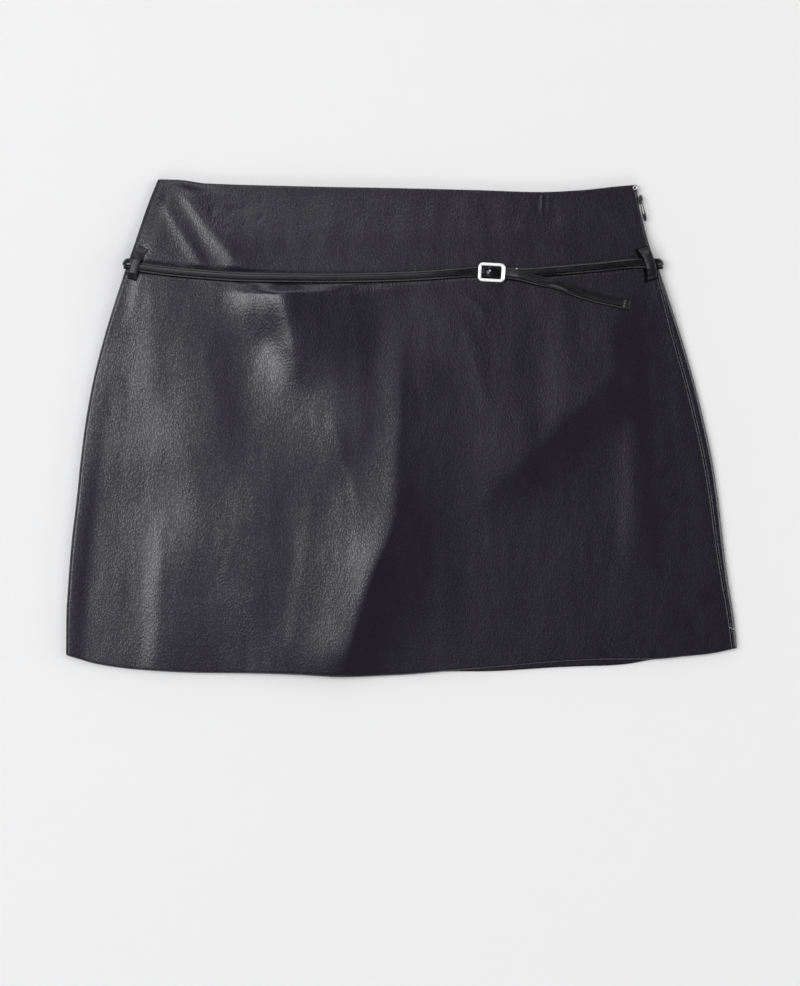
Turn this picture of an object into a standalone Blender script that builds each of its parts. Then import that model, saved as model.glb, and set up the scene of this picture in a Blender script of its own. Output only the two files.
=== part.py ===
"""A short faux-leather skort, laid flat on its back, with its thin buckled belt.

The garment is a flattened tube: the back panel lies on the surface, folds up round both
sides and meets the front panel at the side seams. A pair of thin jersey shorts lies
between them. The belt runs through two loops, round both sides and under the back.

Blender works in metres. The tables and sizes below are in millimetres, seen from above:
x runs across the garment from its middle, y runs up from its middle towards the waist,
and z is the height above the surface that it lies on.
"""

import math

import bmesh
import bpy
import numpy as np

MM = 0.001

# ---------------------------------------------------------------- driving sizes (mm)
LEATHER = 1.2            # wall of the faux leather
HEM_WALL = 2.3           # the same wall where the hem is turned up inside
HEM_DEPTH = 20.0         # height of that turned-up hem
JERSEY = 1.0             # wall of the inner shorts
GAP = 0.3                # air between neighbouring pieces
STACK = 2 * LEATHER + 2 * JERSEY + 3 * GAP   # height of the four layers lying flat
FOLD = STACK / 2         # outer radius of the side folds

SEAM_ANGLE = 54.0        # the left seam's place on the side fold, up from level
STRAP_WIDE = 7.3
STRAP_THICK = 2.2
STRAP_SEAT = 0.45        # the belt's clearance over the front panel
BELT_LIFT = STRAP_THICK + GAP   # the belt's run under the back lifts the garment by this
BACK_LEVEL, BACK_RAMP = 5.5, 14.0      # half width of the lifted strip, and its slope's
FRONT_LEVEL, FRONT_RAMP = 14.0, 55.0   # length: the front falls away more gently

# ---------------------------------------------------------------- outline, seen from above
SIDE_EDGES = (
    # y, left edge x, right edge x, right seam's distance in from the right edge
    (-173.0, -255.4, 256.0, 3.5),
    (-146.0, -255.2, 253.2, 3.9),
    (-115.0, -253.5, 248.4, 4.4),
    (-85.0, -251.0, 244.6, 5.4),
    (-55.0, -247.4, 241.2, 5.9),
    (-24.0, -244.2, 236.4, 6.3),
    (6.0, -240.3, 230.0, 6.5),
    (37.0, -234.5, 222.3, 6.6),
    (67.0, -226.9, 213.6, 6.4),
    (97.0, -217.7, 203.9, 4.6),
    (119.0, -210.4, 196.3, 2.9),
    (135.0, -204.8, 189.8, 1.9),
    (158.0, -197.2, 183.6, 1.4),
    (173.0, -191.9, 180.2, 1.2),
    (190.0, -185.0, 178.9, 1.2),
)
WAIST_EDGE = (
    # x, y
    (-186.0, 189.3), (-168.0, 188.7), (-150.0, 186.2), (-77.0, 183.9), (0.0, 182.4),
    (60.0, 180.9), (105.0, 179.5), (136.0, 180.9), (166.0, 184.0), (180.0, 185.2),
)
FRONT_HEM = (
    # x, y
    (-256.0, -172.6), (-229.0, -180.1), (-199.0, -183.9), (-153.0, -186.2), (-107.0, -186.7),
    (-77.0, -187.7), (-47.0, -189.2), (0.0, -187.7), (29.0, -185.4), (75.0, -181.6),
    (120.0, -177.8), (151.0, -176.3), (193.0, -175.8), (212.0, -174.0), (234.0, -171.8),
    (255.0, -167.4),
)
BACK_HEM_DROP = (
    # x, how far the back hem reaches below the front hem (less than 0 is above it)
    (-256.0, 0.0), (-225.0, -1.0), (0.0, -1.0), (29.0, 0.0), (75.0, 3.2), (120.0, 4.2),
    (151.0, 4.6), (168.0, 3.9), (193.0, 0.2), (215.0, -0.8), (255.0, 0.0),
)
HEM_LEFT_Y, HEM_RIGHT_Y = FRONT_HEM[0][1], FRONT_HEM[-1][1]
WAIST_LEFT_Y, WAIST_RIGHT_Y = WAIST_EDGE[0][1], WAIST_EDGE[-1][1]

# ---------------------------------------------------------------- soft folds of the front
FOLDS = (
    # middle x, y, lean from upright in degrees, half length, left width, right width, height
    (-168.0, 50.0, 14.0, 60.0, 26.0, 16.0, 2.6),
    (-94.0, 64.0, 28.0, 52.0, 30.0, 24.0, 3.0),
    (-50.0, 20.0, 6.0, 52.0, 18.0, 13.0, 1.5),
    (-7.0, 0.0, 1.0, 62.0, 24.0, 10.0, 2.4),
    (-30.0, -112.0, -19.0, 84.0, 30.0, 15.0, 3.0),
    (-174.0, -104.0, -7.0, 84.0, 34.0, 22.0, 2.6),
    (92.0, -10.0, -58.0, 88.0, 46.0, 24.0, 1.8),
    (180.0, -40.0, 2.0, 54.0, 14.0, 16.0, 1.2),
)
FOLD_LIMIT = 3.6         # the folds' sum levels off below this height
STILL_LEFT = 26.0        # the folds fade in over this width from the left side fold,
STILL_RIGHT = 26.0       # over this width from
STILL_SEAM = 9.0         # this far inside the right edge,
STILL_WAIST = 34.0       # and over this height from the waist
BELT_PRESS, BELT_PRESS_WIDE = 0.8, 13.0   # the belt flattens them by this share, near it

# ---------------------------------------------------------------- belt
BACK_BELT_Y = 125.2      # the belt's straight run under the back
FRONT_LEVEL_Y = 119.0    # middle of the level band that carries the belt in front
RIGHT_RUN = (
    # x, y, height of the strap's underside over the front, thickness against full
    (65.8, 118.3, 0.45, 0.6),
    (78.0, 117.9, 0.45, 0.6),
    (90.0, 117.9, 0.45, 0.9),
    (115.0, 119.6, 0.45, 1.0),
    (150.0, 122.6, 0.45, 1.0),
    (182.0, 125.4, 0.45, 1.0),
)
LEFT_RUN = (
    # x, y, height of the underside over the front, thickness against full, roll in degrees
    (-198.0, 122.4, 0.45, 1.0, 0.0),
    (-153.0, 117.2, 0.45, 1.0, 0.0),
    (-115.0, 114.9, 0.45, 1.0, 0.0),
    (-54.0, 114.2, 0.45, 1.0, 0.0),
    (-1.0, 115.3, 0.45, 1.0, 0.0),
    (29.0, 117.0, 0.45, 1.0, 0.0),
    (49.0, 118.3, 0.45, 0.7, 0.0),
    (58.6, 118.6, 0.45, 0.6, 0.0),
    (61.0, 118.6, 0.7, 0.6, 0.0),
    (66.9, 118.1, 3.75, 0.6, 0.0),
    (72.5, 117.7, 2.7, 0.6, 0.0),
    (77.2, 117.3, 2.15, 0.6, 0.0),
    (81.0, 116.9, 2.25, 0.65, 0.0),
    (90.0, 115.4, 2.95, 1.0, 0.0),
    (105.0, 111.6, 3.0, 1.0, 8.0),
    (118.0, 108.4, 2.9, 1.0, 36.0),
    (128.0, 105.0, 2.0, 1.0, 20.0),
    (139.0, 101.4, 0.5, 1.0, 0.0),
    (155.0, 97.2, 0.5, 1.0, 0.0),
    (173.0, 93.4, 0.5, 1.0, 0.0),
)
STRAP_SECTION = (
    # across the strap from its middle, up from its underside
    (-3.65, 0.0), (-3.65, 0.9), (-1.6, 1.0), (-0.9, 1.6), (0.1, 2.05), (1.5, 2.2),
    (2.9, 1.8), (3.6, 1.0), (3.4, 0.0),
)
BUCKLE_SPREAD = (-210.0, 30.0, 56.0, 82.0, 106.0, 200.0)   # x: where the sections
BUCKLE_DENSITY = (1.0, 1.0, 5.0, 5.0, 1.4, 1.0)            # are this much closer
TURN_START = 3.0         # the belt leaves the front this far inside the side edge
TURN_OUT_LEFT = 1.6      # how far its inside stands out beyond the left edge
TURN_OUT_RIGHT = 3.4
TURN_SECTIONS = 11
RIGHT_SECTIONS, BACK_SECTIONS, LEFT_SECTIONS = 26, 9, 64

LOOPS = (
    # name, top x, top y, bottom x, bottom y, width
    ("belt_loop_left", -196.2, 137.4, -204.6, 112.9, 8.6),
    ("belt_loop_right", 183.3, 136.2, 190.9, 112.4, 7.4),
)
LOOP_WALL = 1.2
LOOP_SEAT = 0.4          # clearance of the sewn-down ends
LOOP_RISE = STRAP_SEAT + STRAP_THICK + 0.35   # clearance of the middle, over the belt
LOOP_OPEN = 9.2          # half length that rises, with
LOOP_RAMP = 3.0          # a slope of this length at each end

# ---------------------------------------------------------------- buckle
BUCKLE_X, BUCKLE_Y = 68.3, 117.9
BUCKLE_TURN = -3.5       # degrees in plan
BUCKLE_TILT = -5.2       # degrees about y: the right side lies over two layers of strap
BUCKLE_WIDE, BUCKLE_TALL = 20.6, 14.4
BUCKLE_CORNER, BUCKLE_INNER_CORNER = 3.4, 1.0
BUCKLE_BEVEL = 0.55
BUCKLE_BAR = 2.7
BUCKLE_THICK = 1.8
BUCKLE_HEIGHT = 3.85     # its middle over the front panel
MIDDLE_BAR_X = -1.4      # from the buckle's middle
MIDDLE_BAR_R = 0.7
MIDDLE_BAR_LOW = 1.0     # the middle bar lies this far below the frame's middle plane
PRONG_X, PRONG_Y = 66.9, 118.9
PRONG_R, PRONG_TALL = 0.8, 0.7
PRONG_SEAT = 3.75 + 0.6 * STRAP_THICK + GAP   # over the front: on the strap's hump
RIVET_X, RIVET_Y = 87.4, 120.7
RIVET_R, RIVET_TALL = 0.6, 0.5
RIVET_SEAT = STRAP_SEAT + 0.85 * STRAP_THICK + GAP

# ---------------------------------------------------------------- zip, hook and shorts
ZIP_TOP_Y, ZIP_BOTTOM_Y = 181.5, 60.0
ZIP_TAPE_IN, ZIP_TAPE_OUT = 7.5, 2.5         # from the right edge
ZIP_TAPE_THICK = 0.8
SLIDER_Y = 174.0
SLIDER_SIZE = (2.0, 7.0, 3.8)
SLIDER_OUT = 0.8         # the slider's inner face, clear of the slanting edge
PIN_OUT = 1.6            # the pull's pin lies this far outside the garment's edge
PIN_R, PIN_CAP_R = 0.55, 1.15
SLIDER_TOP_Z = 4.6
PULL_Z = 5.0             # underside of the pull
PULL_THICK = 1.0
PULL_LONG = 17.2
PULL_ANGLE = 12.5        # degrees out from straight down
PULL_EYE_IN, PULL_EYE_OUT, PULL_TAIL_R = 0.95, 1.8, 1.6
SLOT_TOP_Y, SLOT_TOP_R = -3.4, 0.35      # the slot's two round ends, from the pin
SLOT_TAIL, SLOT_TAIL_R = 3.2, 0.7        # its lower end lies this far above the tail's centre
HOOK_X, HOOK_Y = 177.4, 182.6
HOOK_RING, HOOK_WIRE = 1.3, 0.35

SHORTS_IN_LEFT, SHORTS_IN_RIGHT = 9.0, 12.0
SHORTS_HEM_Y, CROTCH_Y = -140.0, -62.0
LEG_GAP = 12.0
SHORTS_BELOW_WAIST = 1.5
SHORTS_LIFT_Y = BACK_BELT_Y - 2.0        # middle of the strip that the belt lifts
SHORTS_WAIST_Y = WAIST_RIGHT_Y - 4.0     # y of the top row of points at the sides

# ---------------------------------------------------------------- spacing of the points
PANEL_ROWS = (
    # from, to, rows: as shares of the way from the top of the turned hem to the waist
    (0.012, 0.61, 10),       # from is measured above the turned hem in this row
    (0.65, 0.685, 2),
    (0.72, 0.75, 2),
    (0.775, 0.92, 11),       # close together over the belt
    (0.95, 1.0, 3),
)
HEM_STEP = 0.012         # the wall thins over this share of the height above the hem
HEM_THIN, HEM_FULL = 4.0, 14.0   # its extra thickness starts and is full this far inside
LEFT_POINTS = (0.3, 2.0, FOLD, 4.6, 9.0, 17.0)        # from the left edge, after the seam
RIGHT_POINTS = (17.0, 9.0, 4.0, 1.5, 0.3, 0.0)        # from the right seam
MIDDLE_POINTS = 26
BACK_POINTS = 13
LEFT_FOLD_ANGLES = (-90.0, -62.0, -34.0, -6.0, 22.0)  # up the left side fold
SHORTS_ROWS = ((SHORTS_HEM_Y, 84.0, 8), (92.0, 164.0, 13))
SHORTS_POINTS = 8        # across each half


# ================================================================ small maths
def smooth_step(t):
    """Rises from 0 to 1 with a level start and end, as t goes from 0 to 1."""
    t = np.clip(t, 0.0, 1.0)
    return t * t * (3 - 2 * t)


def through(xs, ys, at):
    """A smooth curve through the points (xs, ys) that never overshoots them."""
    xs, ys, at = np.asarray(xs, float), np.asarray(ys, float), np.asarray(at, float)
    step = np.diff(xs)
    slope = np.diff(ys) / step
    product = slope[:-1] * slope[1:]
    total = np.where(product > 0, slope[:-1] + slope[1:], 1.0)
    inner = np.where(product > 0, 2 * product / total, 0.0)
    tangent = np.concatenate((slope[:1], inner, slope[-1:]))
    at = np.clip(at, xs[0], xs[-1])
    i = np.clip(np.searchsorted(xs, at) - 1, 0, len(xs) - 2)
    t = (at - xs[i]) / step[i]
    return (ys[i] * (1 + 2 * t) * (1 - t) ** 2
            + ys[i + 1] * t * t * (3 - 2 * t)
            + step[i] * t * (1 - t) * (tangent[i] * (1 - t) - tangent[i + 1] * t))


def table(rows, column, at):
    """Reads one column of a table at the given values of its first column."""
    columns = list(zip(*rows))
    return through(columns[0], columns[column], at)


# ================================================================ the garment's form
def left_edge(y):
    return table(SIDE_EDGES, 1, y)


def right_edge(y):
    return table(SIDE_EDGES, 2, y)


def seam_in(y):
    return table(SIDE_EDGES, 3, y)


def row_sides(v):
    """Left edge, right edge and seam distance of the row at v, from hem 0 to waist 1."""
    left_y = HEM_LEFT_Y + v * (WAIST_LEFT_Y - HEM_LEFT_Y)
    right_y = HEM_RIGHT_Y + v * (WAIST_RIGHT_Y - HEM_RIGHT_Y)
    return left_edge(left_y), right_edge(right_y), seam_in(right_y)


def row_y(x, v, drop=0.0):
    """y of a point at x on row v: straight up from its place on the hem to the waist."""
    left, right, _ = row_sides(v)
    u = (x - left) / (right - left)
    hem_left, hem_right, _ = row_sides(0.0)
    waist_left, waist_right, _ = row_sides(1.0)
    hem_x = hem_left + u * (hem_right - hem_left)
    waist_x = waist_left + u * (waist_right - waist_left)
    hem = table(FRONT_HEM, 1, hem_x) - drop * table(BACK_HEM_DROP, 1, hem_x)
    return hem + v * (table(WAIST_EDGE, 1, waist_x) - hem)


def belt_y(x):
    """The belt's middle line in front."""
    points = [row[:2] for row in LEFT_RUN if row[0] < BUCKLE_X] + [row[:2] for row in RIGHT_RUN[2:]]
    xs, ys = zip(*points)
    return through(xs, ys, x)


def lift(y, middle, level, ramp):
    """How far the belt's run under the back raises a layer: level over it, then falling."""
    return BELT_LIFT * smooth_step(1 - (np.abs(y - middle) - level) / ramp)


def back_lift(y):
    return lift(y, BACK_BELT_Y, BACK_LEVEL, BACK_RAMP)


def front_lift(y):
    return lift(y, FRONT_LEVEL_Y, FRONT_LEVEL, FRONT_RAMP)


def folds(x, y):
    """Sum of the soft folds: each is a bell across its crest line and fades at its ends."""
    total = np.zeros(np.broadcast(x, y).shape)
    for middle_x, middle_y, lean, half, left, right, height in FOLDS:
        c, s = math.cos(math.radians(lean)), math.sin(math.radians(lean))
        across = (x - middle_x) * c + (y - middle_y) * s
        along = (x - middle_x) * s - (y - middle_y) * c
        width = np.where(across < 0, left, right)
        total = total + height * np.exp(-(across / width) ** 2 - (along / half) ** 4)
    return FOLD_LIMIT * np.tanh(total / FOLD_LIMIT)


def front_height(x, y, left, right):
    """Height of the front's outer face, between the two side edges at left and right."""
    top = STACK + front_lift(y)
    bottom = back_lift(y)
    inside = np.minimum(x - left, right - x)
    edge = np.clip(1 - inside / FOLD, 0.0, 1.0)
    side_fold = (top - bottom) / 2 * (1 - np.sqrt(1 - edge * edge))
    waist = table(WAIST_EDGE, 1, x)
    still = (smooth_step((x - left - FOLD) / STILL_LEFT)
             * smooth_step((right - x - STILL_SEAM) / STILL_RIGHT)
             * smooth_step((waist - y) / STILL_WAIST)
             * (1 - BELT_PRESS * np.exp(-((y - belt_y(x)) / BELT_PRESS_WIDE) ** 2)))
    return top - side_fold + folds(x, y) * still


def front_z(x, y):
    return front_height(x, y, left_edge(y), right_edge(y))


# ================================================================ Blender helpers
def clear_scene():
    for item in list(bpy.context.scene.objects):
        bpy.data.objects.remove(item, do_unlink=True)


def new_collection(name):
    collection = bpy.data.collections.new(name)
    bpy.context.scene.collection.children.link(collection)
    return collection


def material(name, colour, roughness, metallic=0.0):
    made = bpy.data.materials.new(name)
    made.use_nodes = True
    shader = made.node_tree.nodes["Principled BSDF"]
    shader.inputs["Base Color"].default_value = (*colour, 1.0)
    shader.inputs["Roughness"].default_value = roughness
    shader.inputs["Metallic"].default_value = metallic
    return made


def add_object(name, data, look, collection):
    made = bpy.data.objects.new(name, data)
    collection.objects.link(made)
    data.materials.append(look)
    return made


def grid_mesh(name, points, flip=False, hole=None):
    """A mesh from rows of points in mm. hole(row, column) leaves that face out."""
    rows, columns = points.shape[:2]
    faces = []
    for r in range(rows - 1):
        for c in range(columns - 1):
            if hole is not None and hole(r, c):
                continue
            a = r * columns + c
            face = (a, a + 1, a + columns + 1, a + columns)
            faces.append(face[::-1] if flip else face)
    mesh = bpy.data.meshes.new(name)
    mesh.from_pydata((points.reshape(-1, 3) * MM).tolist(), [], faces)
    return mesh


def smooth_shade(item, angle=40):
    item.data.shade_smooth()
    item.data.set_sharp_from_angle(angle=math.radians(angle))


def add_wall(item, thickness, offset=-1.0, group=None):
    wall = item.modifiers.new("wall", "SOLIDIFY")
    wall.thickness = thickness * MM
    wall.offset = offset
    if group:
        wall.vertex_group = group
    return wall


def add_bevel(item, width, segments=2):
    bevel = item.modifiers.new("rounded edges", "BEVEL")
    bevel.width = width * MM
    bevel.segments = segments
    bevel.limit_method = "ANGLE"
    return bevel


def join_solids(item, other, cutters):
    """Boolean union of a second solid into the first; the second becomes a guide."""
    union = item.modifiers.new("joined " + other.name, "BOOLEAN")
    union.operation = "UNION"
    union.object = other
    for holder in list(other.users_collection):
        holder.objects.unlink(other)
    cutters.objects.link(other)
    other.hide_render = True
    other.display_type = "WIRE"


def cylinder(name, radius, depth, place, look, collection, sides=20, turn=(0, 0, 0)):
    mesh = bpy.data.meshes.new(name)
    work = bmesh.new()
    bmesh.ops.create_cone(work, cap_ends=True, segments=sides, radius1=radius * MM,
                          radius2=radius * MM, depth=depth * MM)
    work.to_mesh(mesh)
    work.free()
    made = add_object(name, mesh, look, collection)
    made.location = [value * MM for value in place]
    made.rotation_euler = [math.radians(angle) for angle in turn]
    return made


# ================================================================ front and back panels
def row_fractions():
    """Rows from hem to waist: close together at the turned hem and over the belt."""
    hem = HEM_DEPTH / (WAIST_LEFT_Y - HEM_LEFT_Y)
    (first, last, count), *others = PANEL_ROWS
    rows = [(0.0, hem), np.linspace(hem + first, last, count)]
    rows += [np.linspace(start, end, number) for start, end, number in others]
    return np.concatenate(rows)


def hem_weight(rows, inside):
    """Wall thickness against HEM_WALL: full in the turned hem, thin at the side folds."""
    plain = LEATHER / HEM_WALL
    hem = 1 - smooth_step((rows - HEM_DEPTH / (WAIST_LEFT_Y - HEM_LEFT_Y)) / HEM_STEP)
    return plain + (1 - plain) * hem * smooth_step((inside - HEM_THIN) / (HEM_FULL - HEM_THIN))


def panel(name, points, weights, look, collection, flip):
    made = add_object(name, grid_mesh(name, points, flip), look, collection)
    group = made.vertex_groups.new(name="wall")
    for index, weight in enumerate(weights.reshape(-1)):
        group.add([index], float(weight), "REPLACE")
    add_wall(made, HEM_WALL, group="wall")
    smooth_shade(made)
    return made


def front_panel(look, collection):
    """The top of the tube between the side seams, a little down the left side fold."""
    rows = row_fractions()
    seam = FOLD * (1 - math.cos(math.radians(SEAM_ANGLE))) + GAP / 2
    from_left = np.array((seam, seam + LEFT_POINTS[0]) + LEFT_POINTS[1:])
    from_right = np.array(RIGHT_POINTS) + GAP / 2
    between = np.linspace(0, 1, MIDDLE_POINTS + 2)[1:-1]
    v = rows[:, None]
    left, right, strip = row_sides(v)
    start, end = left + from_left[-1], right - strip - from_right[0]
    x = np.hstack((left + from_left, start + between * (end - start), right - strip - from_right))
    y = row_y(x, v)
    z = front_height(x, y, left, right)
    inside = np.minimum(x - left, right - x)
    weights = hem_weight(v, inside)
    return panel("front_panel", np.dstack((x, y, z)), weights, look, collection, False)


def right_fold(left, right, strip, count):
    """x, and height from 0 to 1, of a row's points from the right seam round to the back."""
    start_x = right - strip + GAP / 2
    angle = np.where(start_x > right - FOLD, np.arccos(
        np.clip((start_x - right + FOLD) / FOLD, -1, 1)), math.pi / 2)
    flat = np.maximum(right - FOLD - start_x, 0.0)
    length = flat + FOLD * (angle + math.pi / 2)
    along = np.concatenate(((0.0, 0.035), np.linspace(0, 1, count)[1:])) * length
    on_flat = along < flat
    turned = angle - (along - flat) / FOLD
    x = np.where(on_flat, start_x + along, right - FOLD + FOLD * np.cos(turned))
    rise = np.where(on_flat, 1.0, (1 + np.sin(turned)) / 2)
    return x, rise


def back_panel(look, collection):
    """From the right seam round the right fold, across the back, up round the left fold."""
    rows = row_fractions()
    v = rows[:, None]
    left, right, strip = row_sides(v)
    x_right, rise_right = right_fold(left, right, strip, 9)
    across = np.linspace(0, 1, BACK_POINTS + 2)[1:-1]
    x_back = (right - FOLD) + across * (left - right + 2 * FOLD)
    gap_angle = math.degrees(GAP / 2 / FOLD)
    stop = SEAM_ANGLE - gap_angle
    angles = np.radians(np.array(LEFT_FOLD_ANGLES + (stop - 7, stop)))
    x_left = left + FOLD - FOLD * np.cos(angles)
    x = np.hstack((x_right, x_back, x_left))
    rise = np.hstack((rise_right, np.zeros_like(x_back), np.broadcast_to(
        (1 + np.sin(angles)) / 2, x_left.shape)))
    y = row_y(x, v, drop=1.0)
    bottom = back_lift(y)
    z = bottom + rise * (STACK + front_lift(y) - bottom)
    inside = np.minimum(x - left, right - x)
    weights = hem_weight(v, inside)
    return panel("back_panel", np.dstack((x, y, z)), weights, look, collection, False)


# ================================================================ inner shorts
def shorts_panel(name, base, level, ramp, look, collection):
    """One layer of the shorts: a flat sheet with a slot between the legs."""
    half = np.linspace(0, 1, SHORTS_POINTS)
    y_rows = np.concatenate([np.linspace(*row) for row in SHORTS_ROWS] + [(SHORTS_WAIST_Y,)])[:, None]
    rows = (y_rows - SHORTS_HEM_Y) / (y_rows[-1] - SHORTS_HEM_Y)
    left = left_edge(y_rows) + SHORTS_IN_LEFT
    right = right_edge(y_rows) - SHORTS_IN_RIGHT
    middle = (left + right) / 2
    x = np.hstack((left + half * (middle - LEG_GAP / 2 - left),
                   middle + LEG_GAP / 2 + half * (right - middle - LEG_GAP / 2)))
    top = table(WAIST_EDGE, 1, x) - SHORTS_BELOW_WAIST
    y = SHORTS_HEM_Y + rows * (top - SHORTS_HEM_Y)
    z = base + lift(y, SHORTS_LIFT_Y, level, ramp)
    crotch_row = int(np.argmin(np.abs(y_rows - CROTCH_Y)))
    slot = len(half) - 1
    mesh = grid_mesh(name, np.dstack((x, y, z)), hole=lambda r, c: c == slot and r < crotch_row)
    made = add_object(name, mesh, look, collection)
    add_wall(made, JERSEY)
    smooth_shade(made)
    return made


# ================================================================ belt
def dense_run(rows, count):
    """Points along one front run of the belt: x, y, z, thickness, roll, evenly spaced."""
    columns = [np.array(column, float) for column in zip(*rows)]
    if len(columns) == 4:
        columns.append(np.zeros(len(rows)))
    length = np.concatenate(((0,), np.cumsum(np.hypot(np.diff(columns[0]), np.diff(columns[1])))))
    close = through(BUCKLE_SPREAD, BUCKLE_DENSITY, columns[0])
    weight = np.concatenate(((0,), np.cumsum(np.diff(length) * (close[:-1] + close[1:]) / 2)))
    at = np.interp(np.linspace(0, weight[-1], count), weight, length)
    x, y, seat, press, roll = (through(length, column, at) for column in columns)
    return np.column_stack((x, y, front_z(x, y) + seat, press, roll, np.zeros(count)))


def side_turn(edge, direction, out, y):
    """The belt's turn round a side: half an ellipse, its width leaning as the side does."""
    edge_x = float(edge(y))
    slant = (float(edge(y + STRAP_WIDE / 2)) - float(edge(y - STRAP_WIDE / 2))) / STRAP_WIDE
    start_x = edge_x - direction * TURN_START
    high = float(front_z(start_x, y)) + STRAP_SEAT
    low = BELT_LIFT - GAP
    angles = np.radians(np.linspace(90, -90, TURN_SECTIONS))[1:-1] * direction
    x = start_x + direction * (TURN_START + out) * np.cos(angles)
    z = (high + low) / 2 + (high - low) / 2 * np.sin(angles)
    return np.column_stack((x, np.full(x.shape, y), z, np.ones(x.shape), np.zeros(x.shape),
                            slant * np.cos(angles)))


def belt_path():
    """Middle line of the belt's inner face, from the buckle round to the tail's tip."""
    right_x = float(right_edge(BACK_BELT_Y))
    left_x = float(left_edge(BACK_BELT_Y))
    right_rows = RIGHT_RUN + ((right_x - TURN_START, BACK_BELT_Y, STRAP_SEAT, 1.0),)
    left_rows = ((left_x + TURN_START, 124.6, STRAP_SEAT, 1.0, 0.0),) + LEFT_RUN
    back_x = np.linspace(right_x - TURN_START, left_x + TURN_START, BACK_SECTIONS)
    ones, zeros = np.ones(BACK_SECTIONS), np.zeros(BACK_SECTIONS)
    back = np.column_stack((back_x, ones * BACK_BELT_Y, ones * (BELT_LIFT - GAP), ones, zeros, zeros))
    return np.vstack((dense_run(right_rows, RIGHT_SECTIONS),
                      side_turn(right_edge, 1, TURN_OUT_RIGHT, BACK_BELT_Y),
                      back,
                      side_turn(left_edge, -1, TURN_OUT_LEFT, BACK_BELT_Y),
                      dense_run(left_rows, LEFT_SECTIONS)))


def unit(vectors):
    return vectors / np.linalg.norm(vectors, axis=1, keepdims=True)


def belt_strap(look, collection):
    """The strap's section carried along the belt's path, its width kept along y."""
    path = belt_path()
    centre = path[:, :3]
    tangent = unit(np.gradient(centre, axis=0))
    up_garment = np.column_stack((path[:, 5], np.ones(len(path)), np.zeros(len(path))))
    wide = unit(up_garment - (tangent * up_garment).sum(axis=1, keepdims=True) * tangent)
    out = np.cross(tangent, wide)
    roll = np.radians(path[:, 4])[:, None]
    rolled_wide = wide * np.cos(roll) + out * np.sin(roll)
    rolled_out = out * np.cos(roll) - wide * np.sin(roll)
    section = np.array(STRAP_SECTION)
    points = (centre[:, None, :] + section[None, :, :1] * rolled_wide[:, None, :]
              + (section[None, :, 1] * path[:, 3:4])[:, :, None] * rolled_out[:, None, :])
    closed = np.concatenate((points, points[:, :1]), axis=1)
    mesh = grid_mesh("belt_strap", closed)
    work = bmesh.new()
    work.from_mesh(mesh)
    bmesh.ops.remove_doubles(work, verts=work.verts, dist=0.00001)
    bmesh.ops.holes_fill(work, edges=[edge for edge in work.edges if edge.is_boundary])
    bmesh.ops.recalc_face_normals(work, faces=work.faces)
    work.to_mesh(mesh)
    work.free()
    made = add_object("belt_strap", mesh, look, collection)
    smooth_shade(made)
    return made


def belt_loop(name, top_x, top_y, bottom_x, bottom_y, width, look, collection):
    """A strip sewn down at both ends, which rises over the belt between them."""
    length = math.hypot(bottom_x - top_x, bottom_y - top_y)
    along_x, along_y = (bottom_x - top_x) / length, (bottom_y - top_y) / length
    middle_x, middle_y = (top_x + bottom_x) / 2, (top_y + bottom_y) / 2
    over = (middle_y - float(belt_y(middle_x))) / -along_y
    b = np.linspace(-length / 2, length / 2, 19)[:, None]
    a = np.linspace(-width / 2, width / 2, 5)[None, :]
    x = middle_x + b * along_x + a * along_y * -1
    y = middle_y + b * along_y + a * along_x
    rise = smooth_step((LOOP_OPEN - np.abs(b - over)) / LOOP_RAMP)
    z = front_z(x, y) + LOOP_SEAT + (LOOP_RISE - LOOP_SEAT) * rise
    made = add_object(name, grid_mesh(name, np.dstack((x, y, z)), flip=True), look, collection)
    add_wall(made, LOOP_WALL, offset=1.0)
    smooth_shade(made)
    return made


# ================================================================ buckle and rivet
def rounded_outline(wide, tall, radius, count):
    """Points round a rectangle with round corners, starting at its right side."""
    points = []
    for corner, (sx, sy) in enumerate(((1, 1), (-1, 1), (-1, -1), (1, -1))):
        for step in range(count):
            angle = math.radians(90 * (corner + step / (count - 1)))
            points.append((sx * (wide / 2 - radius) + radius * math.cos(angle),
                           sy * (tall / 2 - radius) + radius * math.sin(angle)))
    return np.array(points)


def buckle_frame(look, collection, cutters):
    """A flat ring with a wall and rounded edges, and a round bar joined across its middle."""
    outer = rounded_outline(BUCKLE_WIDE, BUCKLE_TALL, BUCKLE_CORNER, 6)
    inner = rounded_outline(BUCKLE_WIDE - 2 * BUCKLE_BAR, BUCKLE_TALL - 2 * BUCKLE_BAR,
                            BUCKLE_INNER_CORNER, 6)
    ring = np.stack((np.vstack((outer, outer[:1])), np.vstack((inner, inner[:1]))), axis=0)
    points = np.dstack((ring, np.zeros(ring.shape[:2])))
    mesh = grid_mesh("buckle_frame", points)
    work = bmesh.new()
    work.from_mesh(mesh)
    bmesh.ops.remove_doubles(work, verts=work.verts, dist=0.00001)
    work.to_mesh(mesh)
    work.free()
    made = add_object("buckle_frame", mesh, look, collection)
    height = float(front_z(BUCKLE_X, BUCKLE_Y)) + BUCKLE_HEIGHT
    made.location = (BUCKLE_X * MM, BUCKLE_Y * MM, height * MM)
    made.rotation_euler = (0, math.radians(BUCKLE_TILT), math.radians(BUCKLE_TURN))
    add_wall(made, BUCKLE_THICK, offset=0.0)
    add_bevel(made, BUCKLE_BEVEL)
    bar = cylinder("middle_bar", MIDDLE_BAR_R, BUCKLE_TALL - BUCKLE_BAR,
                   (MIDDLE_BAR_X, 0, -MIDDLE_BAR_LOW), look, collection, 12, (90, 0, 0))
    bar.parent = made
    join_solids(made, bar, cutters)
    smooth_shade(made)
    return made


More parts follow.
